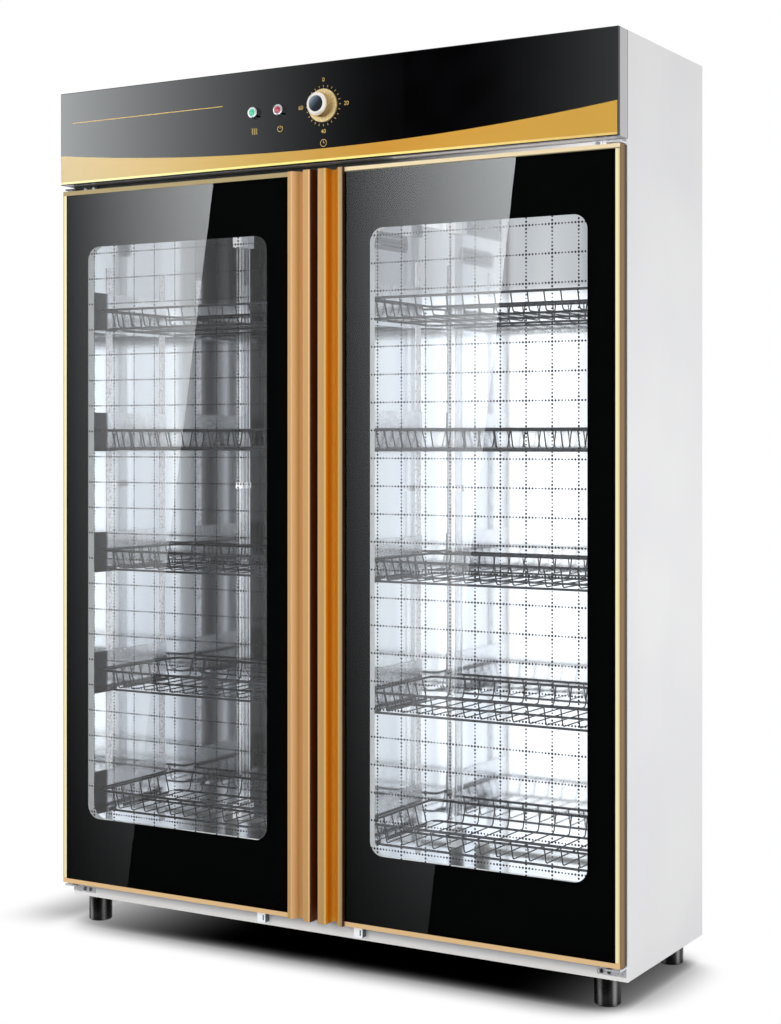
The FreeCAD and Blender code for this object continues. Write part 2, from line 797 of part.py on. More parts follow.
def door_inner_panel():
    """Steel back of the door, with an opening whose edge is folded towards the glass."""
    outer = rectangle(handle_back_edge, half_width - frame_face, door_bottom + frame_face,
                      door_top - frame_face)
    plate = ring(outer, window_corners(window_margin), panel_front, door_thickness)
    collar = ring(window_corners(window_margin + panel_thickness), window_corners(window_margin),
                  glass_back + mask_thickness + flange_clearance, door_thickness)
    return plate.fuse(collar).removeSplitter()


def door_gasket():
    """Magnetic seal round the back of the door."""
    x0 = door_edge + gasket_inset / 2
    x1 = pivot_x - gasket_clear
    z0 = door_bottom + gasket_inset
    z1 = door_top - gasket_inset
    width = gasket_width
    return ring(rectangle(x0, x1, z0, z1),
                rectangle(x0 + width, x1 - width, z0 + width, z1 - width),
                door_thickness, door_thickness + gasket_thickness)


def door_pivot_blocks():
    """Nylon blocks in the door's channel; their collars take the hinge pins."""
    gap_top = header_gap - bracket_thickness - bracket_top_gap
    shapes = []
    for edge, up, running in ((door_bottom, 1, bottom_arm_gap), (door_top, -1, gap_top)):
        inner = edge + up * frame_wall
        deep = inner + up * block_height
        z0, z1 = sorted((inner, deep))
        x = pivot_x
        block = box(x - block_width / 2, x + block_width / 2, rib_back + block_inset,
                    door_thickness - frame_wall - block_inset, z0, z1)
        outer = edge - up * (running - bush_gap)
        collar = rod(bush_collar_radius - bush_clearance, (x, pivot_y, inner), (x, pivot_y, edge))
        flange = rod(bush_flange_radius, (x, pivot_y, edge), (x, pivot_y, outer))
        bore = rod(pin_radius + pin_clearance, (x, pivot_y, outer - up), (x, pivot_y, deep + up))
        shapes.append(block.fuse([collar, flange]).cut(bore))
    return shapes


# ---- hinges -----------------------------------------------------------------------------------
def top_screws():
    """Places of the screws in a top bracket's tab."""
    z = header_bottom - bush_gap - top_tab_height / 2
    return [(inside_x - inset, z) for inset in top_screw_insets]


def bottom_screws():
    z = bottom_arm_z + bracket_thickness - bottom_tab_height * 2 / 3
    return [(inside_x - inset, z) for inset in bottom_screw_insets]


def hinge_bracket(arm_z, tab_z0, tab_z1, screws):
    """Tab on the body's front with an arm that holds the pin."""
    tab_start = min(x for x, z in screws) - tab_margin
    tab = box(tab_start, tab_edge, body_front - bracket_thickness, body_front, tab_z0, tab_z1)
    arm = box(tab_edge - arm_length, tab_edge, pivot_y - arm_reach, body_front,
              arm_z, arm_z + bracket_thickness)
    holes = [rod(screw_radius + screw_clearance, (x, 0, z), (x, body_back, z)) for x, z in screws]
    holes.append(rod(pin_radius + pin_clearance, (pivot_x, pivot_y, arm_z - sheet),
                     (pivot_x, pivot_y, arm_z + bracket_thickness + sheet)))
    return tab.fuse(arm).removeSplitter().cut(Part.makeCompound(holes))


def hinge_brackets():
    tab_top = header_bottom - bush_gap
    bottom_top = bottom_arm_z + bracket_thickness
    return both_sides([
        hinge_bracket(top_arm_z, tab_top - top_tab_height, tab_top, top_screws()),
        hinge_bracket(bottom_arm_z, bottom_top - bottom_tab_height, bottom_top,
                      bottom_screws())])


def hinge_pins():
    """Headed pins, down through the top arms and up through the bottom ones."""
    shapes = []
    arm_top = top_arm_z + bracket_thickness
    for seat, head, tip in (
            (arm_top, arm_top + pin_head_height, door_top - pin_grip),
            (bottom_arm_z, bottom_arm_z - pin_head_height, door_bottom + pin_grip)):
        pin = rod(pin_radius, (pivot_x, pivot_y, seat), (pivot_x, pivot_y, tip))
        cap = rod(pin_head_radius, (pivot_x, pivot_y, seat), (pivot_x, pivot_y, head))
        shapes.append(pin.fuse(cap))
    return both_sides(shapes)


def hinge_screws():
    seat = body_front - bracket_thickness
    shapes = []
    for x, z in top_screws() + bottom_screws():
        shank = rod(screw_radius, (x, seat, z), (x, seat + screw_length, z))
        head = rod(screw_head_radius, (x, seat - screw_head_height, z), (x, seat, z))
        rims = [edge for edge in head.Edges
                if edge.BoundBox.YMax < seat - screw_head_height / 2 and edge.Closed]
        shapes.append(head.makeFillet(screw_head_height / 2, rims).fuse(shank))
    return both_sides(shapes)


def door_catches():
    """Nylon catches on the sill; a sprung tongue reaches up to each door's lower edge."""
    top = door_bottom - catch_drop
    y0 = body_front - catch_depth
    shapes = []
    for x in catch_x:
        half = catch_width / 2
        block = box(x - half, x + half, y0, body_front, top - catch_height, top)
        tongue = box(x - catch_tongue / 2, x + catch_tongue / 2, y0 + catch_slot,
                     y0 + 2 * catch_slot, top, door_bottom - catch_gap)
        slot = box(x + half - 2 * catch_slot, x + half - catch_slot, y0 - sheet,
                   y0 + catch_depth / 2, top - catch_height + catch_slot, top - catch_slot)
        shapes.append(block.fuse(tongue).cut(slot))
    return shapes


# ---- header and controls -----------------------------------------------------------------------
def header_tray():
    """Sheet box behind the fascia, with a folded flange against the body."""
    tray = box(-half_width, half_width, 0, header_depth, header_bottom, body_top)
    inner = box(-half_width + sheet, half_width - sheet, -sheet, header_depth - sheet,
                header_bottom + sheet, body_top - sheet)
    mouth = box(-half_width + tray_flange, half_width - tray_flange, 0, header_depth + sheet,
                header_bottom + tray_flange, body_top - tray_flange)
    return tray.cut(inner).cut(mouth)


def header_fascia():
    """Gloss black panel with holes for the timer's neck and the two lamps."""
    plate = box(-half_width, half_width, fascia_front, 0, header_bottom, body_top)
    rims = [edge for edge in plate.Edges if edge.BoundBox.YMax < fascia_front / 2]
    plate = plate.makeFillet(fascia_rounding, rims)
    places = [(knob_x, shaft_radius + shaft_hole_clearance)]
    places += [(x, barrel_radius + barrel_clearance) for x in lamp_x]
    holes = [rod(radius, (x, fascia_front - sheet, control_z), (x, sheet, control_z))
             for x, radius in places]
    return plate.cut(Part.makeCompound(holes))


def header_band():
    """Gold band along the fascia's foot; its upper edge is a shallow arc."""
    inset = fascia_rounding
    x = half_width - inset
    y = fascia_front
    z0 = header_bottom + inset
    left = Vector(-x, y, header_bottom + band_end)
    right = Vector(x, y, header_bottom + band_end)
    middle = Vector(0, y, header_bottom + band_middle)
    outline = Part.Wire([
        Part.LineSegment(Vector(-x, y, z0), Vector(x, y, z0)).toShape(),
        Part.LineSegment(Vector(x, y, z0), right).toShape(),
        Part.Arc(right, middle, left).toShape(),
        Part.LineSegment(left, Vector(-x, y, z0)).toShape()])
    return Part.Face(outline).extrude(Vector(0, -band_thickness, 0))


def timer_unit():
    """Clockwork timer behind the fascia, with the neck its shaft turns in."""
    half = timer_size / 2
    case = box(knob_x - half, knob_x + half, 0, timer_depth, control_z - half, control_z + half)
    bore = rod(shaft_radius + shaft_clearance, (knob_x, -sheet, control_z),
               (knob_x, timer_depth - sheet, control_z))
    return case.cut(bore)


def timer_shaft():
    hub = fascia_front - knob_gap - shaft_grip
    return rod(shaft_radius, (knob_x, hub, control_z),
               (knob_x, timer_depth - 2 * sheet, control_z))


def knob_grip():
    """Skirt and knurled barrel in one moulding, bored for the shaft."""
    y0 = fascia_front - knob_gap
    y1 = y0 - skirt_thickness
    y2 = y1 - grip_length
    skirt = rod(skirt_radius, (knob_x, y0, control_z), (knob_x, y1, control_z))
    rims = [edge for edge in skirt.Edges if edge.BoundBox.YMax < (y0 + y1) / 2 and edge.Closed]
    skirt = skirt.makeFillet(skirt_thickness / 3, rims)
    ridges = []
    for i in range(2 * knurl_count):
        radius = grip_radius - knurl_depth * (i % 2)
        angle = math.pi * i / knurl_count
        ridges.append((knob_x + radius * math.cos(angle), control_z + radius * math.sin(angle), 0))
    barrel = prism_y(ridges, y2, y1)
    bore = rod(shaft_radius + shaft_clearance, (knob_x, y0 + sheet, control_z),
               (knob_x, y0 - shaft_grip - shaft_clearance, control_z))
    return skirt.fuse(barrel).cut(bore)


def knob_cap():
    """Bevelled front cap with a shallow seat for its mirror disc."""
    y0 = knob_front + cap_length
    cap = rod(cap_radius, (knob_x, y0, control_z), (knob_x, knob_front, control_z))
    rims = [edge for edge in cap.Edges
            if edge.BoundBox.YMax < knob_front + cap_length / 2 and edge.Closed]
    cap = cap.makeChamfer(cap_bevel, rims)
    seat = rod(disc_radius, (knob_x, knob_front + disc_recess, control_z),
               (knob_x, knob_front - sheet, control_z))
    return cap.cut(seat)


def lamp_bezels():
    """Chrome bezels with barrels through the fascia; the lenses sit in their bores."""
    shapes = []
    for x in lamp_x:
        def turned(radius, y0, y1):
            return rod(radius, (x, y0, control_z), (x, y1, control_z))
        head = turned(bezel_radius, fascia_front - bezel_proud, fascia_front)
        rims = [edge for edge in head.Edges if edge.Closed
                and edge.BoundBox.YMax < fascia_front - bezel_proud / 2]
        head = head.makeFillet(bezel_radius / 6, rims)
        barrel = turned(barrel_radius, fascia_front, fascia_front + barrel_length)
        bore = turned(lens_radius + lens_clearance, fascia_front - bezel_proud - sheet,
                      fascia_front + barrel_length + sheet)
        shapes.append(head.fuse(barrel).cut(bore))
    return shapes


def lamp_lens(x):
    """Domed coloured lens, as long as its bezel."""
    front = fascia_front - bezel_proud
    body = rod(lens_radius, (x, front, control_z), (x, fascia_front + barrel_length, control_z))
    curve = (lens_radius ** 2 + lens_dome ** 2) / (2 * lens_dome)
    ball = Part.makeSphere(curve, Vector(x, front - lens_dome + curve, control_z))
    dome = rod(lens_radius, (x, front - lens_dome, control_z), (x, front, control_z)).common(ball)
    return body.fuse(dome)


# ---- every node ---------------------------------------------------------------------------------
os.makedirs("parts", exist_ok=True)

save("right_side_panel", side_panel())
save("left_side_panel", mirrored(side_panel()))
save("top_cover", top_cover())
save("back_panel", back_panel())
save("base_pan", base_pan())
save("front_frame", *front_frame())
save("liner_sides", *both_sides([liner_side()]))
save("liner_back", liner_back())
save("liner_ceiling", liner_ceiling())
save("liner_floor", liner_floor())
save("centre_divider", centre_divider())
save("shelf_standards", *shelf_standards())
save("rack_rails", *rack_rails())
save("uv_tubes", *uv_tubes())
save("uv_lamp_holders", *uv_lamp_holders())
save("heater_elements", *heater_elements())
save("vent_grilles", *vent_grilles())
save("fan_motor", fan_motor())
save("fan_wheel", fan_wheel())
save("fan_guard", fan_guard())
save("hinge_brackets", *hinge_brackets())
save("hinge_pins", *hinge_pins())
save("hinge_screws", *hinge_screws())
save("door_catches", *door_catches())
save("header_tray", header_tray())
save("header_fascia", header_fascia())
save("header_band", header_band())
save("timer_unit", timer_unit())
save("timer_shaft", timer_shaft())
save("knob_grip", knob_grip())
save("knob_cap", knob_cap())
save("lamp_bezels", *lamp_bezels())
save("green_lens", lamp_lens(lamp_x[0]))
save("red_lens", lamp_lens(lamp_x[1]))
save("feet", *feet())
save("cord_gland", cord_gland())
save_racks()

door_pieces = {
    "frame": door_frame(),
    "handle": [door_handle()],
    "glass": [door_glass()],
    "mask": [door_mask()],
    "inner_panel": [door_inner_panel()],
    "gasket": [door_gasket()],
    "pivot_blocks": door_pivot_blocks(),
}
for piece, shapes in door_pieces.items():
    save("right_door_" + piece, *shapes)
    save("left_door_" + piece, *[mirrored(shape) for shape in shapes])

print("overall size %.1f x %.1f x %.1f" % (body_width, gland_back - knob_front, body_top))
print("front plane of the doors at y = %.2f, hinge lines at x = %.1f, y = %.2f"
      % (frame_y, pivot_x, frame_y + pivot_y))
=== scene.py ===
# %% [markdown]
# # The looks of a two-door dish sterilizer cabinet
# The cabinet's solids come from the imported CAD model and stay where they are. This file dresses
# them: first the camera, the room and the lamps, then one finish after another, and at last the
# pieces that are finer than the solids, such as the bent wire of the racks and the prints.

# %% Load the solids
import json
import math

import bmesh
import bpy
from mathutils import Matrix, Vector


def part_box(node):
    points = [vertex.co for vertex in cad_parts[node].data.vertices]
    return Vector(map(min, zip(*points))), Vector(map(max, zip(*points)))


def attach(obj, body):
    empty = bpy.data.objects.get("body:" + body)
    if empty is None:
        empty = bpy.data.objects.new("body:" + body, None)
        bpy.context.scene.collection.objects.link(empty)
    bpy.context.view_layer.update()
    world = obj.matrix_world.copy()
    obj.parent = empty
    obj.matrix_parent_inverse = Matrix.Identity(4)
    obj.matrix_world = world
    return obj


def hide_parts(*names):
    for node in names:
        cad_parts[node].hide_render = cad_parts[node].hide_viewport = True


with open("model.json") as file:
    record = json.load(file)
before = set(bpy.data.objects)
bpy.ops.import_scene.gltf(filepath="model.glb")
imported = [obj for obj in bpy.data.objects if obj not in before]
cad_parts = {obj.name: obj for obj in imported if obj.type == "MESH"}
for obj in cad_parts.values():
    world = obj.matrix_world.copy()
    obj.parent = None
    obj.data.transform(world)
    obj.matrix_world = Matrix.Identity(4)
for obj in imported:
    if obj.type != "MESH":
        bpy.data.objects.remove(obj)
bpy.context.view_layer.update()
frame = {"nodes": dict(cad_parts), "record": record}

# %% [markdown]
# Everything that is added later sits on a solid, so the places are read from the solids' boxes.
# The left door is the mirror image of the right one, so only the right door's places are read,
# and x is then also the distance from the cabinet's middle.

# %% Places on the cabinet
frame_low, frame_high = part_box("right_door_frame")
pane_low, pane_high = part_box("right_door_glass")
band_low, band_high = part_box("header_band")
grip_low, grip_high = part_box("knob_grip")
fascia_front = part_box("header_fascia")[0].y
body_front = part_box("left_side_panel")[0].y
doors_front = frame_low.y
doors_top = frame_high.z
doors_foot = frame_low.z
knob_x = (grip_low.x + grip_high.x) / 2
knob_z = (grip_low.z + grip_high.z) / 2
knob_axis = (knob_x, 0.0, knob_z)
print("doors' front at y", round(doors_front, 4), " knob at x", round(knob_x, 4),
      "z", round(knob_z, 4))

# %% [markdown]
# ## The camera
# The cabinet is looked at from its right front corner, level, from under a metre up. The level
# camera keeps the upright edges parallel, as an architect's shift lens does. The small shift
# brings the cabinet to the middle of the tall frame.

# %% Camera
scene = bpy.context.scene


def put(name, data):
    """A new object in the scene, at the origin."""
    made = bpy.data.objects.new(name, data)
    scene.collection.objects.link(made)
    return made


camera = put("camera", bpy.data.cameras.new("camera"))
scene.camera = camera
camera.location = (1.81428, -3.00469, 0.95992)
camera.rotation_euler = (math.pi / 2, 0, math.radians(30.393))
camera.data.sensor_width = 36
camera.data.lens = 64.457
camera.data.shift_y = -0.06995
scene.view_settings.view_transform = "Standard"
print("camera with", round(camera.data.lens, 1), "mm at", [round(c, 2) for c in camera.location])

# %% [markdown]
# ## Helpers for node trees
# Colours are written as the hex codes that a colour picker shows, and shaders want linear light,
# so one function turns one into the other. The next gives a node its inputs, each a plain value,
# a colour code, the output of a node that stands before it, or that node for its first output.
# The last adds a node. Every node and socket knows its tree as id_data, so a helper that gets one
# of them needs no tree.

# %% Colour and node helpers
def colour(code):
    """Linear red, green, blue and alpha of a hex code."""
    parts = [int(code[i:i + 2], 16) / 255 for i in (1, 3, 5)]
    return [p / 12.92 if p <= 0.04045 else ((p + 0.055) / 1.055) ** 2.4 for p in parts] + [1.0]


def feed(node, inputs):
    """Give a node its inputs: a dict by name or number, or a list in the node's order."""
    pairs = inputs.items() if isinstance(inputs, dict) else enumerate(inputs)
    for name, value in pairs:
        if isinstance(value, bpy.types.Node):
            value = value.outputs[0]
        if isinstance(value, bpy.types.NodeSocket):
            node.id_data.links.new(value, node.inputs[name])
        elif isinstance(value, str) and value.startswith("#"):
            node.inputs[name].default_value = colour(value)
        else:
            node.inputs[name].default_value = value


def add(tree, kind, inputs=(), **settings):
    """Add one node with its settings and its inputs."""
    node = tree.nodes.new(kind)
    for name, value in settings.items():
        setattr(node, name, value)
    feed(node, inputs)
    return node


def empty_tree(owner):
    """The shader tree of a material or a world, without its first nodes."""
    owner.use_nodes = True
    owner.node_tree.nodes.clear()
    return owner.node_tree


# %% [markdown]
# ## The room
# The cabinet stands on a plain white floor in white surroundings. The world gives most of the
# light, evenly from all sides, so that each colour shows about as it is written. What the camera,
# gloss and glass see is plain white, whatever light the rest gets.

# %% World
def shown(tree, matter, view):
    """Mix two shaders: the camera, gloss and glass meet `view`, all other rays `matter`."""
    rays = add(tree, "ShaderNodeLightPath").outputs
    seen = add(tree, "ShaderNodeMath", [rays["Is Camera Ray"], rays["Is Glossy Ray"]],
               operation="MAXIMUM")
    seen = add(tree, "ShaderNodeMath", [seen, rays["Is Transmission Ray"]], operation="MAXIMUM")
    return add(tree, "ShaderNodeMixShader", [seen, matter, view])


world = bpy.data.worlds.new("white studio")
scene.world = world
tree = empty_tree(world)
sky_light = add(tree, "ShaderNodeBackground", {"Color": "#FFFFFF", "Strength": 0.68})
plain_white = add(tree, "ShaderNodeBackground", {"Color": "#FFFFFF", "Strength": 1.0})
add(tree, "ShaderNodeOutputWorld", {"Surface": shown(tree, sky_light, plain_white)})
print("the world lights with", sky_light.inputs["Strength"].default_value)

# %% [markdown]
# ## Masks
# Many finishes change from place to place. A mask goes from 0 to 1 over a stretch of x, y or z,
# or as the surface turns, and several of them multiplied pick out one spot. It then decides
# between two colours.

# %% Mask helpers
def split(tree, output="Object"):
    """x, y and z of the place on the object, or of the way its surface looks ("Normal")."""
    coordinates = add(tree, "ShaderNodeTexCoord")
    return add(tree, "ShaderNodeSeparateXYZ", [coordinates.outputs[output]]).outputs


def mask(*measures, curve="LINEAR"):
    """A product of shares: each is 0 where a value is at its start and 1 at its end."""
    product = None
    for value, start, end in measures:
        share = add(value.id_data, "ShaderNodeMapRange", [value, start, end],
                    interpolation_type=curve)
        if product is not None:
            share = add(value.id_data, "ShaderNodeMath", [product, share], operation="MULTIPLY")
        product = share
    return product


def blend(factor, first, second):
    """Mix two colours, which a Mix node takes in its inputs 6 and 7."""
    mixed = add(factor.id_data, "ShaderNodeMix", {0: factor, 6: first, 7: second},
                data_type="RGBA")
    return mixed.outputs[2]


# %% [markdown]
# ## The floor
# The white floor takes a soft shadow: the less sky a point sees within a hand's width, the
# darker it is. That makes the shade under the cabinet a dark bar. At its two ends the bar is
# painted fainter by place, as if more light came in there, and at its left end a faint patch of
# painted half shade lies on the floor.

# %% Floor
shadow_reach = 0.18
covered, open_floor = 0.20, 0.80
# The x where the bar's fading starts and ends, the power of its rise, and how much is faded.
bar_ends = ((-0.20, -0.60, 3.0, 0.46), (0.30, 0.60, 4.0, 0.22))


def mesh_object(name, points, faces):
    """A mesh from points and faces, at the origin."""
    mesh = bpy.data.meshes.new(name)
    mesh.from_pydata([tuple(p) for p in points], [], faces)
    return put(name, mesh)


floor = mesh_object("floor", [(-9, -9, 0), (9, -9, 0), (9, 9, 0), (-9, 9, 0)], [(0, 1, 2, 3)])
floor_finish = bpy.data.materials.new("white studio floor")
floor.data.materials.append(floor_finish)
tree = empty_tree(floor_finish)
x, y, _ = split(tree)
open_sky = add(tree, "ShaderNodeAmbientOcclusion", {"Distance": shadow_reach}, samples=64)
openness = add(tree, "ShaderNodeMath", [mask((open_sky.outputs["AO"], covered, open_floor)), 1.7],
               operation="POWER")
light = mask((openness, 0.0, 1.0), curve="SMOOTHSTEP")
# Painted fading of the shadow bar towards its two ends, set by x.
faded = []
for start, end, power, strength in bar_ends:
    near_end = add(tree, "ShaderNodeMath", [mask((x, start, end)), power], operation="POWER")
    faded.append(add(tree, "ShaderNodeMath", [near_end, strength], operation="MULTIPLY"))
faded = add(tree, "ShaderNodeMath", faded, operation="ADD")
# A painted patch of half shade beside the bar's left end.
patch = mask((x, -0.78, -0.64), (x, -0.56, -0.64), (y, -0.26, -0.10), (y, 0.20, 0.0),
             curve="SMOOTHSTEP")
brightness = add(tree, "ShaderNodeMath", [patch, -0.5, 1.0], operation="MULTIPLY_ADD")
matt = add(tree, "ShaderNodeBsdfDiffuse", {"Color": "#F4F4F4"})
plain = add(tree, "ShaderNodeEmission", {"Color": blend(faded, light, "#FFFFFF"),
                                         "Strength": brightness})
add(tree, "ShaderNodeOutputMaterial", {"Surface": shown(tree, matt, plain)})
print("the floor's shadow reaches", shadow_reach, "m")

# %% [markdown]
# ## The lamps
# One large soft lamp at the left front models the handles, and a small one beside the cabinet
# rounds off the plain side. Two soft strips stand for the light that the chamber's bright steel
# throws about: they hang inside the doors and light the racks and walls. A thin one lights the
# slot above the right door. No lamp shows itself, not even in gloss.

# %% Lamps
def soft_lamp(name, place, aim, width, height, power):
    """A rectangular area lamp that faces a point."""
    lamp = bpy.data.lights.new(name, "AREA")
    lamp.shape = "RECTANGLE"
    lamp.size = width
    lamp.size_y = height
    lamp.energy = power
    made = put(name, lamp)
    made.location = place
    made.rotation_euler = (Vector(aim) - Vector(place)).to_track_quat("-Z", "Z").to_euler()
    made.visible_camera = False
    made.visible_glossy = False
    made.visible_transmission = False


pane_middle = (pane_low.x + pane_high.x) / 2
strip_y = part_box("right_door_inner_panel")[1].y + 0.006
slot_x, slot_z = 0.37, doors_top + 0.0055
soft_lamp("key lamp", (-1.2, -4.0, 1.8), (0, 0, 0.85), 2.0, 1.6, 45)
soft_lamp("slot lamp", (slot_x, -0.172, slot_z), (slot_x, body_front, slot_z), 0.44, 0.006, 0.05)
soft_lamp("side lamp", (1.8, 0.0, 0.84), (0.6, 0.0, 0.84), 0.5, 0.4, 4.4)
for middle_x in (-pane_middle, pane_middle):
    soft_lamp("chamber lamp", (middle_x, strip_y, 0.8), (middle_x, 1.0, 0.8), 0.40, 1.10, 2.4)
print(len(bpy.data.lights), "lamps")

# %% [markdown]
# ## What the black glass mirrors
# Black glass shows nothing of its own: its grey sheen with a sharp slanting edge is the mirror
# image of a bright cloth beside a black one. So a black cloth hangs in front of the cabinet, and
# glowing cards before it. Only gloss sees them: they are hidden from the camera and give no light
# of their own to anything matt. Where a card must hang follows from the mirror rule: the camera
# is put behind the door's plane, at its mirrored place, and each card is where the lines from
# there through its image on the door meet the card's plane. The low images lie on the floor, so
# there the card bends and runs along the floor.

# %% Card helpers
mirrored_eye = Vector((camera.location.x, 2 * doors_front - camera.location.y, camera.location.z))


def behind_image(x, z, plane_y, lift):
    """The point that is mirrored at (x, z) of the doors' front.

    It lies in the plane at plane_y, or where the line meets the floor first, a lift above it.
    """
    share = (mirrored_eye.y - plane_y) / (mirrored_eye.y - doors_front)
    if z < mirrored_eye.z:
        share = min(share, (mirrored_eye.z - lift) / (mirrored_eye.z - z))
    return mirrored_eye + (Vector((x, doors_front, z)) - mirrored_eye) * share


def glowing_card(name, points, faces, values):
    """A card that glows with a brightness given at each point, and that only gloss sees."""
    card = mesh_object(name, points, faces)
    card.data.attributes.new("glow", "FLOAT", "POINT").data.foreach_set("value", values)
    finish = bpy.data.materials.new(name + " light")
    card.data.materials.append(finish)
    tree = empty_tree(finish)
    value = add(tree, "ShaderNodeAttribute", attribute_name="glow")
    glowing = add(tree, "ShaderNodeEmission", {"Color": "#F6FAFC",
                                               "Strength": value.outputs["Fac"]})
    add(tree, "ShaderNodeOutputMaterial", {"Surface": glowing})
    for ray in ("camera", "diffuse", "transmission", "shadow", "volume_scatter"):
        setattr(card, "visible_" + ray, False)
    return card


def reflection_card(name, left, right, heights, plane_y, glow, lift=0.003, steps=28):
    """A card between two edges, each its x at the top and at the foot, as seen on the door.

    `heights` are its top and its foot; `glow(across, down)` is its brightness, both from 0 to 1.
    """
    points, values, faces = [], [], []
    left_top, left_foot = [Vector(edge) for edge in zip(left, heights)]
    right_top, right_foot = [Vector(edge) for edge in zip(right, heights)]
    for row in range(steps + 1):
        down = row / steps
        for column in range(steps + 1):
            across = column / steps
            spot = left_top.lerp(left_foot, down).lerp(right_top.lerp(right_foot, down), across)
            points.append(behind_image(spot.x, spot.y, plane_y, lift))
            values.append(glow(across, down))
            if row < steps and column < steps:
                a = row * (steps + 1) + column
                faces.append((a, a + steps + 1, a + steps + 2, a + 1))
    return glowing_card(name, points, faces, values)


# %% [markdown]
# A door's card is brightest at the top beside its slanting edge, and fades to the left and
# downwards. The header's card is pale at the left end and black at the middle, and a dim one
# stands at the right end.

# %% Reflection cards and black cloth
card_y, cloth_y = -1.30, -1.34
door_heights = (1.4636, 0.06)
header_heights = (1.68, 1.4637)
for name, left, right, strength in (
        ("left door card", (-0.62, -0.62), (-0.2306, -0.444), 7.9),
        ("right door card", (0.03, 0.03), (0.4087, 0.228), 10.3)):
    reflection_card(name, left, right, door_heights, card_y, lambda across, down: (
        strength * (0.07 + 0.93 * across ** 1.3) * (1 - down) ** 1.5 + 0.05 + 0.22 * across))
reflection_card("header card", (-0.64, -0.64), (0.19, 0.19), header_heights, card_y,
                lambda across, down: 9.9 * (1 - across) ** 2.1 + 0.03)
reflection_card("header end card", (0.30, 0.30), (0.70, 0.70), header_heights, card_y,
                lambda across, down: 1.6 * across ** 2)
cloth = reflection_card("black cloth", (-0.75, -0.75), (0.85, 0.85), (1.85, 0.01), cloth_y,
                        lambda across, down: 0.0, lift=0.0015)
print("cloth spans", [round(c, 2) for c in cloth.dimensions])

# %% [markdown]
# The chamber's walls are bright sheet and mirror whatever fills the doorway, once or twice over.
# So one more card fills each half of the doorway, between the door and the chamber, and again
# only gloss sees it. Its brightness changes from left to right in stripes: their edges show on
# the walls as tall streaks. Each stripe is its left edge and its glow, and runs to the next one's
# edge. Near the top the card is dimmer, as a room is under its ceiling.

# %% Striped cards in the doorway
left_stripes = ((-0.575, 0.04), (-0.520, 1.3), (-0.500, 0.1), (-0.468, 0.8), (-0.457, 0.25),
                (-0.438, 0.03), (-0.400, 0.3), (-0.385, 0.1), (-0.375, 0.45), (-0.328, 1.2),
                (-0.270, 0.8), (-0.260, 1.1), (-0.185, 1.4), (-0.115, 1.0), (-0.105, 1.7),
                (-0.051, 1.7))
right_stripes = ((0.051, 1.65), (0.225, 1.35), (0.305, 1.1), (0.312, 1.35), (0.330, 1.2),
                 (0.574, 1.2))
soft_edge = 0.003
doorway_y = body_front - 0.0024
levels = ((0.095, 1.0), (1.262, 1.0), (1.285, 0.0), (1.440, 0.0))


def top_share(x):
    """The share of its glow that the card keeps near the top."""
    if x < -0.39:
        return 0.15
    return 0.65 if x < 0 else 0.45


for name, stripes in (("left doorway card", left_stripes), ("right doorway card", right_stripes)):
    edges = []
    for (start, glow), (end, _) in zip(stripes, stripes[1:]):
        edges += [(start + soft_edge / 2, glow), (end - soft_edge / 2, glow)]
    points, faces, values = [], [], []
    for i, (x, glow) in enumerate(edges):
        for j, (z, full) in enumerate(levels):
            points.append((x, doorway_y, z))
            values.append(glow * (top_share(x) + (1 - top_share(x)) * full))
            if i and j:
                k = len(levels) * i + j
                before = k - len(levels)
                faces.append((before - 1, k - 1, k, before))
    glowing_card(name, points, faces, values)
print("stripes", len(left_stripes) - 1, "and", len(right_stripes) - 1)

# %% [markdown]
# ## Finishes
# Each finish is one Principled shader. The first function below makes it with its plain numbers
# and files it under its slot; the others add the fine pattern that tells the eye what the surface
# is. All patterns read Object coordinates, which are metres here, so a scale of 1 / size gives a
# pattern of that size.

# %% A new finish
finishes = {}


def new_finish(slot, name, base, roughness, metallic=0.0, more=()):
    """A material with one Principled shader, filed under its slot."""
    material = bpy.data.materials.new(name)
    tree = empty_tree(material)
    shader = add(tree, "ShaderNodeBsdfPrincipled", {
        "Base Color": base, "Roughness": roughness, "Metallic": metallic, **dict(more)})
    add(tree, "ShaderNodeOutputMaterial", {"Surface": shader})
    finishes[slot] = material
    print("finish:", name)
    return tree, shader


def pattern(tree, size, detail=2.0, stretch=(1, 1, 1), kind="Noise"):
    """A texture of a real size in metres, drawn out along an axis by a small stretch there."""
    coordinates = add(tree, "ShaderNodeTexCoord")
    place = add(tree, "ShaderNodeMapping", {"Vector": coordinates.outputs["Object"],
                                            "Scale": stretch})
    return add(tree, "ShaderNodeTex" + kind, {"Vector": place, "Scale": 1 / size,
                                              "Detail": detail})


def grain(shader, size, low, high, **how):
    """Vary the roughness between two values with fine noise."""
    noise = pattern(shader.id_data, size, **how)
    spread = add(shader.id_data, "ShaderNodeMapRange", [noise, 0.3, 0.7, low, high])
    feed(shader, {"Roughness": spread})
    return noise


# A colour ramp: it lays real tones and painted light and shade alike.
def colour_ramp(factor, stops):
    """Colours along a factor, from stops of a position and a code."""
    ramp = add(factor.id_data, "ShaderNodeValToRGB", [factor])
    elements = ramp.color_ramp.elements
    for end in (0, -1):
        elements[end].position = stops[end][0]
        elements[end].color = colour(stops[end][1])
    for position, code in stops[1:-1]:
        elements.new(position).color = colour(code)
    return ramp.outputs[0]


def mottle(factor, first, second, start=0.35, end=0.65):
    """Two codes, mixed by a pattern whose values lie mostly between a start and an end."""
    return colour_ramp(factor, [(start, first), (end, second)])


def relief(shader, factor, depth):
    """Raise the surface by a pattern, to a depth in metres."""
    bump = add(shader.id_data, "ShaderNodeBump", {"Height": factor, "Distance": depth,
                                                  "Strength": 1.0})
    feed(shader, {"Normal": bump})
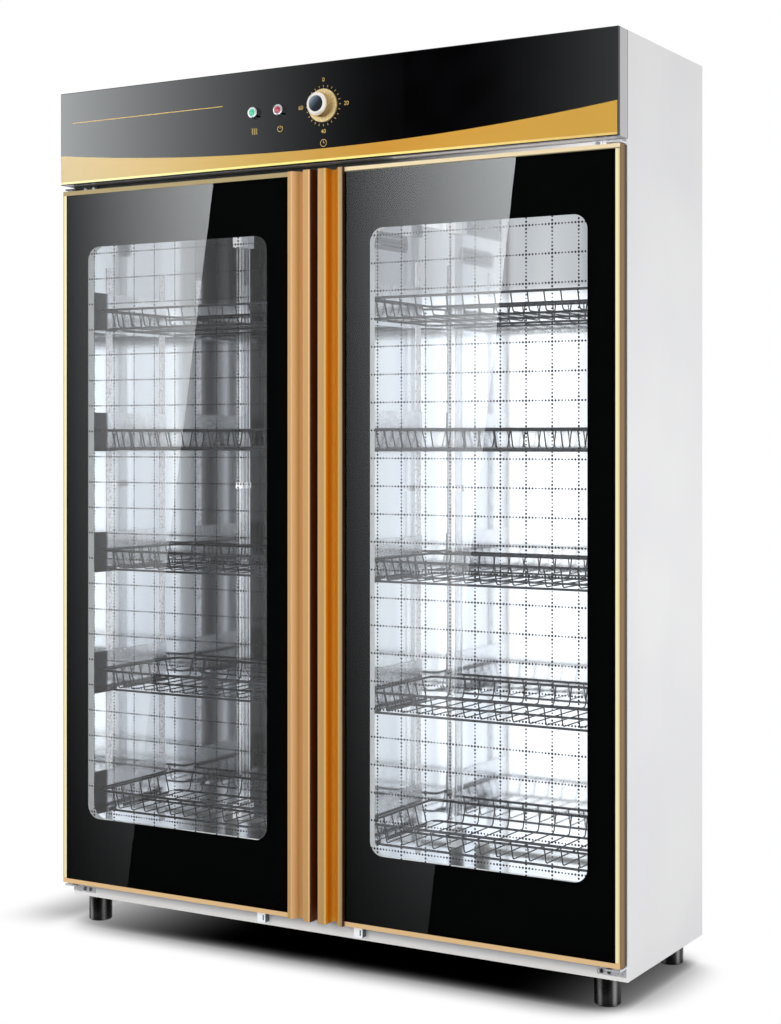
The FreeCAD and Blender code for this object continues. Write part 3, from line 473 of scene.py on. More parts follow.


# %% [markdown]
# ** White powder coat** covers the outer sheets. Baked powder never lies quite flat: it has a soft
# orange peel of about 1.5 mm, which breaks up its gloss. It gives the eye a calm, faintly
# uneven light grey. Along the folded front edges, which catch the light, a painted highlight
# makes it whiter. Up under the doors the sill lies in shade. This even light gives it too little,
# so two centimetres of shade are painted on.

# %% White powder coat
peel, peel_depth = 0.0015, 0.00003
tree, shader = new_finish("white_paint", "white powder coat", "#E8E8E9", 0.42)
x, y, z = split(tree)
noise = grain(shader, peel, 0.36, 0.48)
clouds = pattern(tree, 0.25, detail=1.0)
# A painted highlight along the folded front edges.
fold_highlight = mask((y, body_front + 0.0025, body_front + 0.0008))
# Painted shade on the sill up under the doors.
sill = colour_ramp(mask((z, 0.05, 0.10)), [(0.10, "#FDFDFC"), (0.31, "#DFE0E4"), (0.41, "#C4C6CC"),
                                   (0.55, "#8A8C92"), (0.62, "#FDFDFC")])
aside = add(tree, "ShaderNodeMath", [x], operation="ABSOLUTE")
sill = blend(mask((aside, 0.578, 0.576)), "#FDFDFC", sill)
feed(shader, {"Base Color": blend(fold_highlight, mottle(clouds, "#E6E6E8", "#EBEBEC"), sill)})
relief(shader, noise, peel_depth)

# %% [markdown]
# The **header's tray** has the same coat in a greyer shade. The last millimetres before the body
# lie in a groove, whose shade is painted on too.

# %% Grey powder coat
tree, shader = new_finish("tray_paint", "light grey powder coat", "#BFBFC1", 0.42)
noise = grain(shader, peel, 0.36, 0.48)
groove = mask((split(tree)["Y"], body_front - 0.0035, body_front - 0.0010))
feed(shader, {"Base Color": blend(groove, mottle(noise, "#BBBBBD", "#C2C2C4"), "#6E6E70")})
relief(shader, noise, peel_depth)

# %% [markdown]
# **Bright-rolled stainless sheet** lines the chamber. It is nearly a mirror, and since thin sheet
# is never flat, what stands upright before it is mirrored as long wavy streaks. The waves are
# about a hand wide across the sheet and run far upwards. Fine rolling marks, 0.05 mm wide on the
# real sheet and drawn 1 mm wide, vary its gloss.

# %% Stainless sheet
tree, shader = new_finish("stainless", "bright-rolled stainless sheet", "#E6E8EA", 0.08, 1.0)
grain(shader, 0.001, 0.05, 0.12, detail=4.0, stretch=(1, 1, 0.015))
waves = pattern(tree, 0.09, detail=1.0, stretch=(1, 1, 0.10))
feed(shader, {"Base Color": mottle(waves, "#DFE2E7", "#EEF0F2")})
relief(shader, waves, 0.00035)

# %% [markdown]
# The **front frame** is the same sheet behind the doors. Only its top rail shows, in the slot
# under the header. Its tone there is painted to stand for the slot's light: black along the left
# door, fading to white over the right door, where the light comes in.

# %% Front frame
tree, shader = new_finish("front_rail", "stainless rail, slot light painted on", "#D8DBE0", 0.3, 0.6)
noise = grain(shader, 0.001, 0.25, 0.40)
x, _, z = split(tree)
steel_to, paint_from = doors_top - 0.0013, doors_top - 0.0003
# Painted slot light: black along the left door, white over the right.
painted_slot_light = add(tree, "ShaderNodeMath", [mask((x, 0.02, 0.55)), 2.0], operation="POWER")
feed(shader, {"Base Color": blend(mask((z, steel_to, paint_from)),
                                  mottle(noise, "#D2D5DA", "#E0E2E6"),
                                  blend(painted_slot_light, "#101012", "#F2F0F2")),
              "Metallic": mask((z, paint_from, steel_to))})

# %% [markdown]
# **Zinc-plated steel** makes pins, screws and the timer's shaft. Zinc crystals give it a faint
# blotchy bloom, a few millimetres across, between bright and dull grey.

# %% Zinc-plated steel
tree, shader = new_finish("zinc_steel", "zinc-plated steel", "#B4B7BB", 0.35, 1.0)
bloom = pattern(tree, 0.006, detail=0.0, kind="Voronoi")
feed(shader, {"Base Color": mottle(bloom, "#A4A8AD", "#C4C7CA", 0.1, 0.7)})
grain(shader, 0.004, 0.28, 0.42)

# %% [markdown]
# The **hinge brackets** and shelf standards are bright zinc and reflect the white room more than
# a dull plate would. The bracket at the top left lies in the header's shadow gap, so it is
# painted dark.

# %% Bright zinc
tree, shader = new_finish("bright_zinc", "bright zinc plate", "#E4E5EA", 0.32, 0.35)
bloom = grain(shader, 0.004, 0.24, 0.38)
x, _, z = split(tree)
top_left = mask((z, 1.44, 1.45), (x, -0.45, -0.46))
feed(shader, {"Base Color": blend(top_left, mottle(bloom, "#DADBE2", "#F0F1F4"), "#3C3D44")})

# %% [markdown]
# The **rack rails** are satin sheet like the walls. On the left wall the front ends are painted
# dark for a few centimetres, so that a slate-grey patch marks the end of each rack there. On the
# real cabinet the patch may be a piece of its own, or a mirror image.

# %% Rack rails
tree, shader = new_finish("rack_rail", "satin steel, dark at the front", "#E0E2E6", 0.22, 1.0)
bloom = pattern(tree, 0.012, detail=3.0)
x, y, _ = split(tree)
front_end = mask((y, -0.070, -0.078), (x, -0.50, -0.52))
feed(shader, {"Base Color": blend(front_end, mottle(bloom, "#DADCE0", "#E8E9EC"), "#1E1F26")})
grain(shader, 0.004, 0.16, 0.28)

# %% [markdown]
# The **feet** are tubes with a black gloss finish. The long tube mirrors the room's bright walls
# as two upright streaks, which are drawn here by the direction in which the surface looks.

# %% Feet
across_view = (0.863, 0.506, 0.0)
tree, shader = new_finish("foot_tube", "black gloss tube", "#161616", 0.25, 0.6)
grain(shader, 0.003, 0.2, 0.3)
facing = add(tree, "ShaderNodeTexCoord").outputs["Normal"]
turn = add(tree, "ShaderNodeVectorMath", [facing, across_view],
           operation="DOT_PRODUCT").outputs["Value"]
black, grey, glint = "#0A0A0A", "#222222", "#969696"
streaks = colour_ramp(mask((turn, -1.0, 1.0)), [
    (0.0, black), (0.08, grey), (0.17, glint), (0.27, grey), (0.45, black), (0.60, grey),
    (0.72, glint), (0.84, grey), (1.0, black)])
feed(shader, {"Base Color": streaks})

# %% [markdown]
# ** Gold anodised aluminium** makes the two handles. It is extruded, brushed along its length and
# dyed. Its brushing runs upright, about 0.3 mm wide, drawn 0.8 mm. What shows is the dyed gold
# together with painted light from the studio that the metal mirrors: bends are pale with
# painted highlights, the right handle's finger recess is a deep orange of painted reflected
# light, and the faces that meet between the doors are dark brown with painted shade. Both are
# painted as one, in tones laid by their place across the handles, in millimetres from the
# cabinet's middle: bends at 50, 37 and 11, flats between them, the recess from 25. Each place
# wanders by up to a millimetre with the brushing. The faces that look sideways are told by their
# normal.

# %% Brushing
brush_width = 0.0008
along_strokes = (1, 1, 0.01)


def brushed(tree, shader):
    """Upright brushing: its noise, the place, and the way that the surface looks."""
    noise = grain(shader, brush_width, 0.30, 0.42, detail=3.0, stretch=along_strokes)
    return noise, split(tree), split(tree, "Normal")


# %% Handles
wander = 0.0012
tree, shader = new_finish("gold_anodised", "brushed gold anodised aluminium", "#E8B76B", 0.36,
                          more={"Specular IOR Level": 0.3})
noise, (x, y, _), facing = brushed(tree, shader)
wandering = add(tree, "ShaderNodeMath", [noise, wander, x], operation="MULTIPLY_ADD")
gold, pale, deep = "#CDA268", "#F8C488", "#CF9F5C"
amber, orange, brown = "#FFB529", "#D08A1A", "#40280A"
# The dyed gold's tones with painted highlights and reflected light, by place.
handle_tints_and_light = ((-60, gold), (-54, gold), (-50, pale), (-48, pale), (-42, deep), (-37, pale),
               (-25, gold), (-14, gold), (-11, pale), (-9.2, gold), (-8.4, brown), (7.6, brown),
               (8.8, gold), (20, "#BC965A"), (24.4, pale), (25.6, amber), (36, orange),
               (46, orange), (50, gold), (58, "#A58C62"), (59.2, brown))
along = mask((wandering, wander / 2 - 0.060, wander / 2 + 0.060))
tints_and_light = colour_ramp(along, [((millimetres + 60) / 120, tone) for millimetres, tone in handle_tints_and_light])
sideways = add(tree, "ShaderNodeMath", [facing["X"]], operation="ABSOLUTE")
from_middle = add(tree, "ShaderNodeMath", [x], operation="ABSOLUTE")
to_side = (sideways, 0.7, 0.95)
# Painted shade on the faces that meet between the doors.
meeting = mask(to_side, (from_middle, 0.0095, 0.0075))
recess = mask(to_side, (x, 0.0240, 0.0248), (x, 0.0500, 0.0490))
# Painted reflected light in the right handle's finger recess.
recess_tint_and_light = colour_ramp(mask((y, -0.186, -0.162)), [(0.0, amber), (0.3, "#D88406"), (0.65, "#DF8E04"),
                                             (1.0, "#FFD75A")])
tints_and_light = blend(recess, tints_and_light, recess_tint_and_light)
feed(shader, {"Base Color": blend(meeting, tints_and_light, "#70330F")})
relief(shader, noise, 0.00003)

# %% [markdown]
# The **door frames** are cut bright after the dyeing: their front face is milled to a pale
# champagne shine. Light and shade are painted on it: it is a touch darker along its outer edge
# and its lower and upper lips, and the upper lip is bronze in painted shade over the left door
# and painted lit over the right one, under a dark bevel of painted shade. The sides keep a brown
# anodised skin, with painted shade that makes it darkest at the back edge.

# %% Door frames
tree, shader = new_finish("gold_frame", "bright-cut champagne aluminium", "#F0E5B4", 0.36,
                          more={"Specular IOR Level": 0.1})
noise, (x, y, z), facing = brushed(tree, shader)
aside = add(tree, "ShaderNodeMath", [x], operation="ABSOLUTE")
over_right = (x, -0.05, 0.05)
upper_lip = (z, doors_top - 0.0093, doors_top - 0.0083)
under_bevel = (z, doors_top - 0.0063, doors_top - 0.0075)
champagne = mottle(noise, "#FDF1BA", "#FFF8C6")
# Painted light and shade on the frames' face: outer edge, lips and bevel.
for spot, tone in (
        (mask((aside, frame_high.x - 0.0035, frame_high.x - 0.0005)), "#C8AA72"),
        (mask((z, doors_foot + 0.0105, doors_foot + 0.0095)), "#EEC894"),
        (mask(upper_lip), blend(mask(over_right), "#B4A276", "#FCE8BE")),
        (mask(under_bevel, over_right, upper_lip), "#8C8260")):
    champagne = blend(spot, champagne, tone)
# The sides' brown anodised skin, with painted shade darkest at the back edge.
bronze = colour_ramp(mask((y, frame_low.y, frame_high.y)), [
    (0.0, "#6E4E20"), (0.25, "#927244"), (0.58, "#826644"), (0.75, "#4A4034"), (1.0, "#26221D")])
feed(shader, {"Base Color": blend(mask((facing["Y"], -0.5, -0.8)), bronze, champagne)})

# %% [markdown]
# **Black enamel** is screen-printed on the back of the glass and fired. Seen through the glass it
# is a dense black; its free side is matt, with the screen's 0.4 mm mesh in it. The window's dots
# are the same enamel, a little glossier. The header's dial is printed in gold ink.

# %% Enamel and inks
# A slot and a name, the plain colour, two shades of speck, roughness, how metallic it is, its
# specular level, and the speck's size in metres.
for slot, name, base, first, second, roughness, metallic, specular, size in (
        ("black_enamel", "fired black enamel", "#050506", "#040405", "#08080A",
         0.6, 0.0, 0.1, 0.0004),
        ("dot_ink", "fired black dots", "#060607", "#050506", "#0B0B0D",
         0.5, 0.0, 0.2, 0.0006),
        ("gold_ink", "gold screen ink", "#D9B566", "#CFA956", "#E2C27A",
         0.4, 0.3, 0.5, 0.0005)):
    tree, shader = new_finish(slot, name, base, roughness, metallic,
                              {"Specular IOR Level": specular})
    feed(shader, {"Base Color": mottle(pattern(tree, size), first, second)})

# %% [markdown]
# **Tempered glass** is clear, and mirrors about four percent of what stands in front of it, more
# at a slant. Cycles would let no lamp shine through a refracting pane, so for shadow and diffuse
# rays the pane is simply open. A slight unevenness from the tempering, as wide as a hand, keeps
# long reflections alive.

# %% Tempered glass
tree, shader = new_finish("clear_glass", "clear tempered glass", "#FFFFFF", 0.0,
                          more={"Transmission Weight": 1.0, "IOR": 1.5})
relief(shader, pattern(tree, 0.12, detail=0.0), 0.00004)
rays = add(tree, "ShaderNodeLightPath").outputs
soft_ray = add(tree, "ShaderNodeMath", [rays["Is Shadow Ray"], rays["Is Diffuse Ray"]],
               operation="MAXIMUM")
open_pane = add(tree, "ShaderNodeBsdfTransparent", {"Color": "#F6FAF9"})
pane = add(tree, "ShaderNodeMixShader", [soft_ray, shader, open_pane])
feed(tree.nodes["Material Output"], {"Surface": pane})

# %% [markdown]
# **Black acrylic** faces the header. It is as glossy as the glass doors and deep black, and its
# polish has a very faint waviness, a few centimetres long.

# %% Black acrylic
tree, shader = new_finish("black_gloss", "black acrylic", "#060607", 0.04, more={"IOR": 1.49})
wave = pattern(tree, 0.06, detail=0.0)
feed(shader, {"Base Color": mottle(wave, "#050506", "#08080A")})
relief(shader, wave, 0.00002)

# %% [markdown]
# **Gold foil** makes the band across the header. It is hot-stamped, so it has the shine of metal
# with a satin bloom, and it is dyed from pale straw at the left to deep gold at the right. A
# brighter line runs along its lower edge.

# %% Gold foil
tree, shader = new_finish("gold_foil", "satin gold foil", "#D0A040", 0.4, 0.25)
x, _, z = split(tree)
across = mask((x, band_low.x, band_high.x))
foil = colour_ramp(across, [(0.0, "#CCB68A"), (0.36, "#C8A452"), (0.62, "#C48A12"), (1.0, "#D9A840")])
bright = colour_ramp(across, [(0.0, "#F4E4B2"), (0.45, "#FFEA86"), (1.0, "#EECC7A")])
low_line = mask((z, band_low.z + 0.0045, band_low.z + 0.0038))
feed(shader, {"Base Color": blend(low_line, foil, bright)})
grain(shader, 0.0012, 0.34, 0.46)

# %% [markdown]
# The **catches** under the doors are thick white nylon, which lets a little light through. All
# but the sides that face right get a painted glow, so that the front stays bright in the doors'
# shadow. The sides that face right lie in shade, which is painted.

# %% Catch nylon
tree, shader = new_finish("catch_nylon", "white nylon, painted glow and shade", "#FAFBFF", 0.4)
noise = grain(shader, 0.0006, 0.35, 0.5)
facing_x = split(tree, "Normal")["X"]
# A painted glow on all faces but those that look right.
glow = add(tree, "ShaderNodeMath", [mask((facing_x, 0.3, 0.0)), 0.27], operation="MULTIPLY")
# Painted shade on the sides that face right.
feed(shader, {"Base Color": blend(mask((facing_x, 0.4, 0.8)), mottle(noise, "#F4F6FA", "#FFFFFF"),
                                  "#5E6E74"),
              "Emission Color": "#E8F2FF", "Emission Strength": glow})

# %% [markdown]
# **Plain finishes** differ only in their numbers: two shades, a grain, and how deep it is.
# - The inner door panels have the outer powder coat in a purer white, without the sill's painted
#   shade.
# - The vents are pressed sheet with a dull, uneven bloom.
# - The racks are nickel-chromed wire. Bright plating on a thin round wire mirrors the whole room
#   in a hair's width, mostly its darker parts, so it reads as a dark grey with fine glints. That
#   dark grey is painted into its colour as the reflection it shows.
# - Moulded plastics are white nylon for the holders, the timer and the pivots, black for the
#   cord's gland, and soft vinyl for the gaskets. Moulds leave a matt grain of under 1 mm.
# - The heaters sit in unglazed ceramic, and the fan's motor is steel with grey enamel.

# %% Plain finishes
# A slot and a name, the plain colour, the grain's two shades, its least and greatest roughness,
# how metallic it is, and the grain's size and depth in metres.
for slot, name, base, first, second, low, high, metallic, size, depth in (
        ("inner_paint", "white powder coat, inside", "#FBFBFA", "#F6F6F6", "#FFFFFE",
         0.34, 0.46, 0.0, peel, peel_depth),
        ("vent_sheet", "dull pressed sheet", "#A2A5AC", "#9A9DA4", "#ACAFB6",
         0.38, 0.52, 0.7, 0.003, 0.0),
        # The wire's dark grey is its painted reflection of the darker room.
        ("rack_wire", "nickel-chromed wire", "#3E4044", "#36383C", "#46484D",
         0.24, 0.38, 1.0, 0.005, 0.0),
        ("white_nylon", "moulded white nylon", "#F4F5FA", "#F4F5FA", "#FFFFFF",
         0.45, 0.60, 0.0, 0.0006, 0.00002),
        ("black_plastic", "moulded black plastic", "#0C0C0D", "#0C0C0D", "#161618",
         0.14, 0.24, 0.0, 0.0008, 0.00001),
        ("grey_rubber", "soft grey vinyl", "#55565A", "#55565A", "#626368",
         0.60, 0.75, 0.0, 0.001, 0.00002),
        ("heater_ceramic", "unglazed ceramic", "#C9C4BA", "#C9C4BA", "#D8D4CC",
         0.70, 0.85, 0.0, 0.0008, 0.00004),
        ("motor_steel", "grey enamelled steel", "#55585E", "#55585E", "#62656C",
         0.35, 0.45, 0.3, 0.002, 0.00002)):
    tree, shader = new_finish(slot, name, base, (low + high) / 2, metallic)
    noise = grain(shader, size, low, high)
    feed(shader, {"Base Color": mottle(noise, first, second)})
    if depth:
        relief(shader, noise, depth)

# %% [markdown]
# **Chrome** rings hold the lamps. Polished chrome is nearly a mirror, with a few soft polishing
# marks.

# %% Chrome
tree, shader = new_finish("chrome_bezel", "polished chrome", "#D5D8DC", 0.08, 1.0)
grain(shader, 0.002, 0.05, 0.14)

# %% [markdown]
# The **knob's grip** is gold-plated plastic, pale on its flat rim. Its waist is knurled: fine
# grooves run round it, one every six degrees, drawn as dark lines of painted shade.

# %% Knob grip
groove_count = 60.0


def from_knob(tree):
    """The place on the object, measured from the knob's axis."""
    place = add(tree, "ShaderNodeTexCoord").outputs["Object"]
    return add(tree, "ShaderNodeVectorMath", [place, knob_axis], operation="SUBTRACT")


tree, shader = new_finish("knob_gold", "pale gold plate, knurled", "#F0D898", 0.24, 0.25)
noise = grain(shader, 0.0015, 0.2, 0.3)
x, _, z = add(tree, "ShaderNodeSeparateXYZ", [from_knob(tree)]).outputs
angle = add(tree, "ShaderNodeMath", [z, x], operation="ARCTAN2")
waves = add(tree, "ShaderNodeMath", [angle, groove_count], operation="MULTIPLY")
waves = add(tree, "ShaderNodeMath", [waves], operation="SINE")
# The knurl's grooves, drawn as painted shade.
grooves = mask((waves, 0.1, 0.7), (split(tree, "Normal")["Y"], -0.8, -0.5))
feed(shader, {"Base Color": blend(grooves, mottle(noise, "#E6C986", "#F6E0AC"), "#4A341A")})

# %% [markdown]
# The **knob's cap** is turned: a broad, nearly white bevelled rim round a sunk disc with a slate
# lacquer. The disc's sheen is painted, and paler at its upper left. Both are one solid, so the
# distance from the knob's axis decides which is which. Fine turning marks run round it.

# %% Knob cap
disc_radius = 0.0144
tree, shader = new_finish("cap_chrome", "turned cap with lacquered disc", "#F4EEE6", 0.2, 0.3)
place = from_knob(tree)
flat = add(tree, "ShaderNodeVectorMath", [place, (1.0, 0.0, 1.0)], operation="MULTIPLY")
distance = add(tree, "ShaderNodeVectorMath", [flat], operation="LENGTH").outputs["Value"]
slant = add(tree, "ShaderNodeVectorMath", [place, (-0.7, 0.0, 0.7)],
            operation="DOT_PRODUCT").outputs["Value"]
# Slate lacquer with a painted sheen, paler at the upper left.
lacquer_and_sheen = colour_ramp(mask((slant, -0.014, 0.014)), [(0.0, "#10151E"), (0.45, "#1D2530"),
                                             (0.75, "#5A6676"), (1.0, "#98A4B2")])
rim = mask((distance, disc_radius, disc_radius + 0.0006))
feed(shader, {"Base Color": blend(rim, lacquer_and_sheen, "#FFFAF4")})
rings = add(tree, "ShaderNodeMath", [distance, 2600.0], operation="MULTIPLY")
rings = add(tree, "ShaderNodeMath", [rings], operation="SINE")
relief(shader, rings, 0.00001)

# %% [markdown]
# ** Lamp lenses** are clear dyed plastic over a small reflector, so they seem to glow a little:
# that glow is painted on as a faint light of their own. Fine facets moulded inside, 1.2 mm apart,
# catch the light, and their glints are painted into the colour too.

# %% Lamp lenses
for slot, name, base, glow, power in (
        ("green_lens", "clear green lens", "#1FA276", "#3CC898", 0.25),
        ("red_lens", "clear red lens", "#9C1230", "#C01C44", 0.12)):
    # Each lens gets a faint painted glow.
    tree, shader = new_finish(slot, name, base, 0.08, more={
        "Coat Weight": 1.0, "Coat Roughness": 0.05, "Emission Color": glow,
        "Emission Strength": power})
    facets = pattern(tree, 0.0012, detail=0.0, kind="Voronoi")
    relief(shader, facets, 0.0002)
    # Painted glints at the facets' edges.
    feed(shader, {"Base Color": mottle(facets, base, glow, 0.0, 0.8)})

# %% [markdown]
# **Lamp tubes** are clear quartz. One sees straight through the middle of a clear tube, while its
# rims gather the light of the walls and show bright. The layer weight does just that: it is
# small where the surface faces the viewer and large at the rims. A faint frost keeps the middle
# visible.

# %% Quartz tubes
tree, shader = new_finish("quartz_glass", "clear quartz tube", "#FAFBFC", 0.15, 1.0)
rim_light = add(tree, "ShaderNodeLayerWeight", {"Blend": 0.45}).outputs["Facing"]
frost = pattern(tree, 0.02, stretch=(1, 1, 0.2))
solid = add(tree, "ShaderNodeMapRange", [rim_light, 0.1, 0.6, 0.30, 0.85])
feed(shader, {"Base Color": mottle(frost, "#F0F2F4", "#FFFFFF"), "Alpha": solid})

# %% [markdown]
# ## Dress the solids
# The record names a material slot for every solid, so each gets the finish of its slot. A few
# solids of a slot have a finish of their own.

# %% Finishes on the solids
own_finish = {
    "door_frame": "gold_frame", "door_inner_panel": "inner_paint", "header_tray": "tray_paint",
    "front_frame": "front_rail", "rack_rails": "rack_rail", "vent_grilles": "vent_sheet",
    "hinge_brackets": "bright_zinc", "shelf_standards": "bright_zinc", "feet": "foot_tube",
    "knob_grip": "knob_gold", "door_catches": "catch_nylon"}
for part in frame["record"]["subparts"]:
    mesh = frame["nodes"][part["node"]].data
    name = part["node"].removeprefix("left_").removeprefix("right_")
    mesh.materials.clear()
    mesh.materials.append(finishes[own_finish.get(name, part["material_slot"])])

# %% [markdown]
# ## Geometry Nodes helper
# What repeats is made by small node trees with named sizes. The helpers make a tree with those
# names as inputs, and hang it on an empty mesh, set the sizes by each socket's identifier, and
# turn the evaluated result into a plain mesh.

# %% Trees with named sizes
def new_tree(name, sizes):
    """A node tree whose inputs are the named sizes; returns it and its inputs' sockets."""
    tree = bpy.data.node_groups.new(name, "GeometryNodeTree")
    for size, value in sizes.items():
        kind = {float: "Float", int: "Int"}.get(type(value), "Material")
        tree.interface.new_socket(name=size, in_out="INPUT", socket_type="NodeSocket" + kind)
    tree.interface.new_socket(name="Geometry", in_out="OUTPUT", socket_type="NodeSocketGeometry")
    return tree, tree.nodes.new("NodeGroupInput").outputs


def close_tree(tree, geometry, finish):
    """End a tree in real geometry with a material."""
    real = add(tree, "GeometryNodeRealizeInstances", [geometry])
    dressed = add(tree, "GeometryNodeSetMaterial", {"Geometry": real, "Material": finish})
    add(tree, "NodeGroupOutput", [dressed])


def grow(name, tree, sizes):
    """The plain mesh that a tree gives for these sizes."""
    seed = mesh_object(name + "_seed", [], [])
    modifier = seed.modifiers.new(name, "NODES")
    modifier.node_group = tree
    for item in tree.interface.items_tree:
        if item.item_type == "SOCKET" and item.in_out == "INPUT":
            modifier[item.identifier] = sizes[item.name]
    evaluated = seed.evaluated_get(bpy.context.evaluated_depsgraph_get())
    mesh = bpy.data.meshes.new_from_object(evaluated)
    mesh.name = name
    bpy.data.objects.remove(seed)
    print(name, len(mesh.polygons), "faces")
    return mesh


def place_mesh(name, mesh, matrix):
    """An object at the origin whose mesh is a moved copy."""
    mesh = mesh.copy()
    mesh.transform(matrix)
    return put(name, mesh)


# %% [markdown]
# ## The dotted grid on the windows
# Both panes carry a fired grid of black dots behind the glass, in squares of about 50 mm, eight
# dots to a side. The dots swell towards each crossing. A flat grid of points with a disc on each,
# scaled by its distance from the nearest crossing, is just that rule. Two grids are joined, one
# for the lines across and one for those up and down, and the dots under the black border are
# dropped.

# %% Window dots
def dot_lines(tree, given, along_x):
    """Points of the lines along one direction, centred: fine steps there, whole cells across."""
    spans, numbers = [], []
    for cells, size, past_end, fine in (("Columns", "Cell width", "Dots past side", along_x),
                                        ("Rows", "Cell height", "Dots past end", not along_x)):
        steps, pitch = given[cells], given[size]
        if fine:
            steps = add(tree, "ShaderNodeMath", [steps, given["Dots per cell"]],
                        operation="MULTIPLY")
            steps = add(tree, "ShaderNodeMath", [given[past_end], 2.0, steps],
                        operation="MULTIPLY_ADD")
            pitch = add(tree, "ShaderNodeMath", [pitch, given["Dots per cell"]],
                        operation="DIVIDE")
        spans.append(add(tree, "ShaderNodeMath", [steps, pitch], operation="MULTIPLY"))
        numbers.append(add(tree, "ShaderNodeMath", [steps, 1.0], operation="ADD"))
    return add(tree, "GeometryNodeMeshGrid", spans + numbers)


window_x = (0.112, 0.539)
window_z = (0.213, 1.342)
dot_sizes = {
    "Cell width": 0.0494, "Cell height": 0.0501, "Columns": 8, "Rows": 22, "Dots per cell": 8,
    "Dots past side": 3, "Dots past end": 2, "Crossing radius": 0.0024, "Middle radius": 0.0014,
    "Window width": window_x[1] - window_x[0], "Window height": window_z[1] - window_z[0],
    "Corner radius": 0.026, "Finish": finishes["dot_ink"]}
tree, given = new_tree("window dots", dot_sizes)
lines = add(tree, "GeometryNodeJoinGeometry")
for along_x in (True, False):
    feed(lines, [dot_lines(tree, given, along_x)])

# %% Swelling dots
disc_sides = 8
position = add(tree, "GeometryNodeInputPosition")
places = add(tree, "ShaderNodeSeparateXYZ", [position]).outputs
distances = []
for axis, cell, count in (("X", "Cell width", "Columns"), ("Y", "Cell height", "Rows")):
    cells = add(tree, "ShaderNodeMath", [places[axis], given[cell]], operation="DIVIDE")
    cells = add(tree, "ShaderNodeMath", [given[count], 0.5, cells], operation="MULTIPLY_ADD")
    crossing = add(tree, "ShaderNodeMath", [cells], operation="ROUND")
    off = add(tree, "ShaderNodeMath", [cells, crossing], operation="SUBTRACT")
    distances.append(add(tree, "ShaderNodeMath", [off], operation="ABSOLUTE"))
furthest = add(tree, "ShaderNodeMath", distances, operation="MAXIMUM")
radius = add(tree, "ShaderNodeMapRange", [
    furthest, 0.0, 0.5, given["Crossing radius"], given["Middle radius"]])
disc = add(tree, "GeometryNodeMeshCircle", [disc_sides, 1.0], fill_type="NGON")

# %% [markdown]
# The window has round corners. A dot lies outside when it is further than the corner's radius
# from the core, which is the window's rectangle drawn in by that radius on all sides.

# %% Dots cut at the window's edge
window = add(tree, "ShaderNodeCombineXYZ", [given["Window width"], given["Window height"]])
half = add(tree, "ShaderNodeVectorMath", {0: window, "Scale": 0.5}, operation="SCALE")
corner = add(tree, "ShaderNodeCombineXYZ", [given["Corner radius"]] * 2)
core = add(tree, "ShaderNodeVectorMath", [half, corner], operation="SUBTRACT")
size = add(tree, "ShaderNodeVectorMath", [position], operation="ABSOLUTE")
past = add(tree, "ShaderNodeVectorMath", [size, core], operation="SUBTRACT")
past = add(tree, "ShaderNodeVectorMath", [past, (0.0, 0.0, 0.0)], operation="MAXIMUM")
reach = add(tree, "ShaderNodeVectorMath", [past], operation="LENGTH").outputs["Value"]
outside = add(tree, "ShaderNodeMath", [reach, given["Corner radius"]], operation="GREATER_THAN")
kept = add(tree, "GeometryNodeDeleteGeometry", [lines, outside])
dots = add(tree, "GeometryNodeInstanceOnPoints", {"Points": kept, "Instance": disc,
                                                  "Scale": radius})
close_tree(tree, dots, given["Finish"])
dots_mesh = grow("window_dots", tree, dot_sizes)

# %% Dots on both doors
behind_pane = 0.00006
upright = Matrix.Rotation(math.radians(90), 4, "X")
for side, name in ((-1, "left"), (1, "right")):
    spot = Vector((side * sum(window_x) / 2, pane_high.y + behind_pane, sum(window_z) / 2))
    dots = place_mesh(name + "_window_dots", dots_mesh, Matrix.Translation(spot) @ upright)
    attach(dots, name + "_door")
    print(dots.name, "at", [round(c, 4) for c in spot])

# %% [markdown]
# ## The wire racks
# A rack is a tray of bent wire: a thick rounded rim, a base frame with a bar along its middle,
# and thin wires that run down the front, along the base and up the back. Each thin wire is the
# same curve, so the tree bends it once, sets a row of them along the rack and sweeps a round
# section along every one. The corners that the solids leave square are bent here.

# %% Rack tree
rack_low, rack_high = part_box("rack_right_1")
rim, base_wire = 0.0025, 0.00225
rack_sizes = {
    "Length": rack_high.x - rack_low.x - 2 * rim, "Depth": rack_high.y - rack_low.y - 2 * rim,
    "Height": rack_high.z - rack_low.z - rim - base_wire, "Flare": 0.010, "Rim radius": rim,
    "Base radius": base_wire, "Thin radius": 0.0013, "Corner": 0.014, "Columns": 14, "Rows": 7,
    "Finish": finishes["rack_wire"]}
tree, given = new_tree("wire rack", rack_sizes)
low_length, low_depth = [add(tree, "ShaderNodeMath", [given["Flare"], -2.0, given[size]],
                             operation="MULTIPLY_ADD") for size in ("Length", "Depth")]
down = add(tree, "ShaderNodeMath", [given["Height"], -1.0], operation="MULTIPLY")
lift = add(tree, "ShaderNodeMath", [given["Base radius"], given["Thin radius"]], operation="ADD")
on_base = add(tree, "ShaderNodeMath", [down, lift], operation="ADD")
rim_size = add(tree, "ShaderNodeCombineXYZ", [given["Length"], given["Depth"]])
base_size = add(tree, "ShaderNodeCombineXYZ", [low_length, low_depth, down])
wire_size = add(tree, "ShaderNodeCombineXYZ", [low_length, low_depth, on_base])

# %% [markdown]
# The two frames are rectangles with rounded corners. A bent wire is a line whose points are moved
# to its corners, and a corner is a share of the rack's size: half of it to one side or the other.

# %% Wire helpers
def swept(tree, curve, radius, sides):
    """A round wire along a curve."""
    section = add(tree, "GeometryNodeCurvePrimitiveCircle", {"Resolution": sides,
                                                             "Radius": radius})
    return add(tree, "GeometryNodeCurveToMesh", {"Curve": curve, "Profile Curve": section,
                                                 "Fill Caps": True})


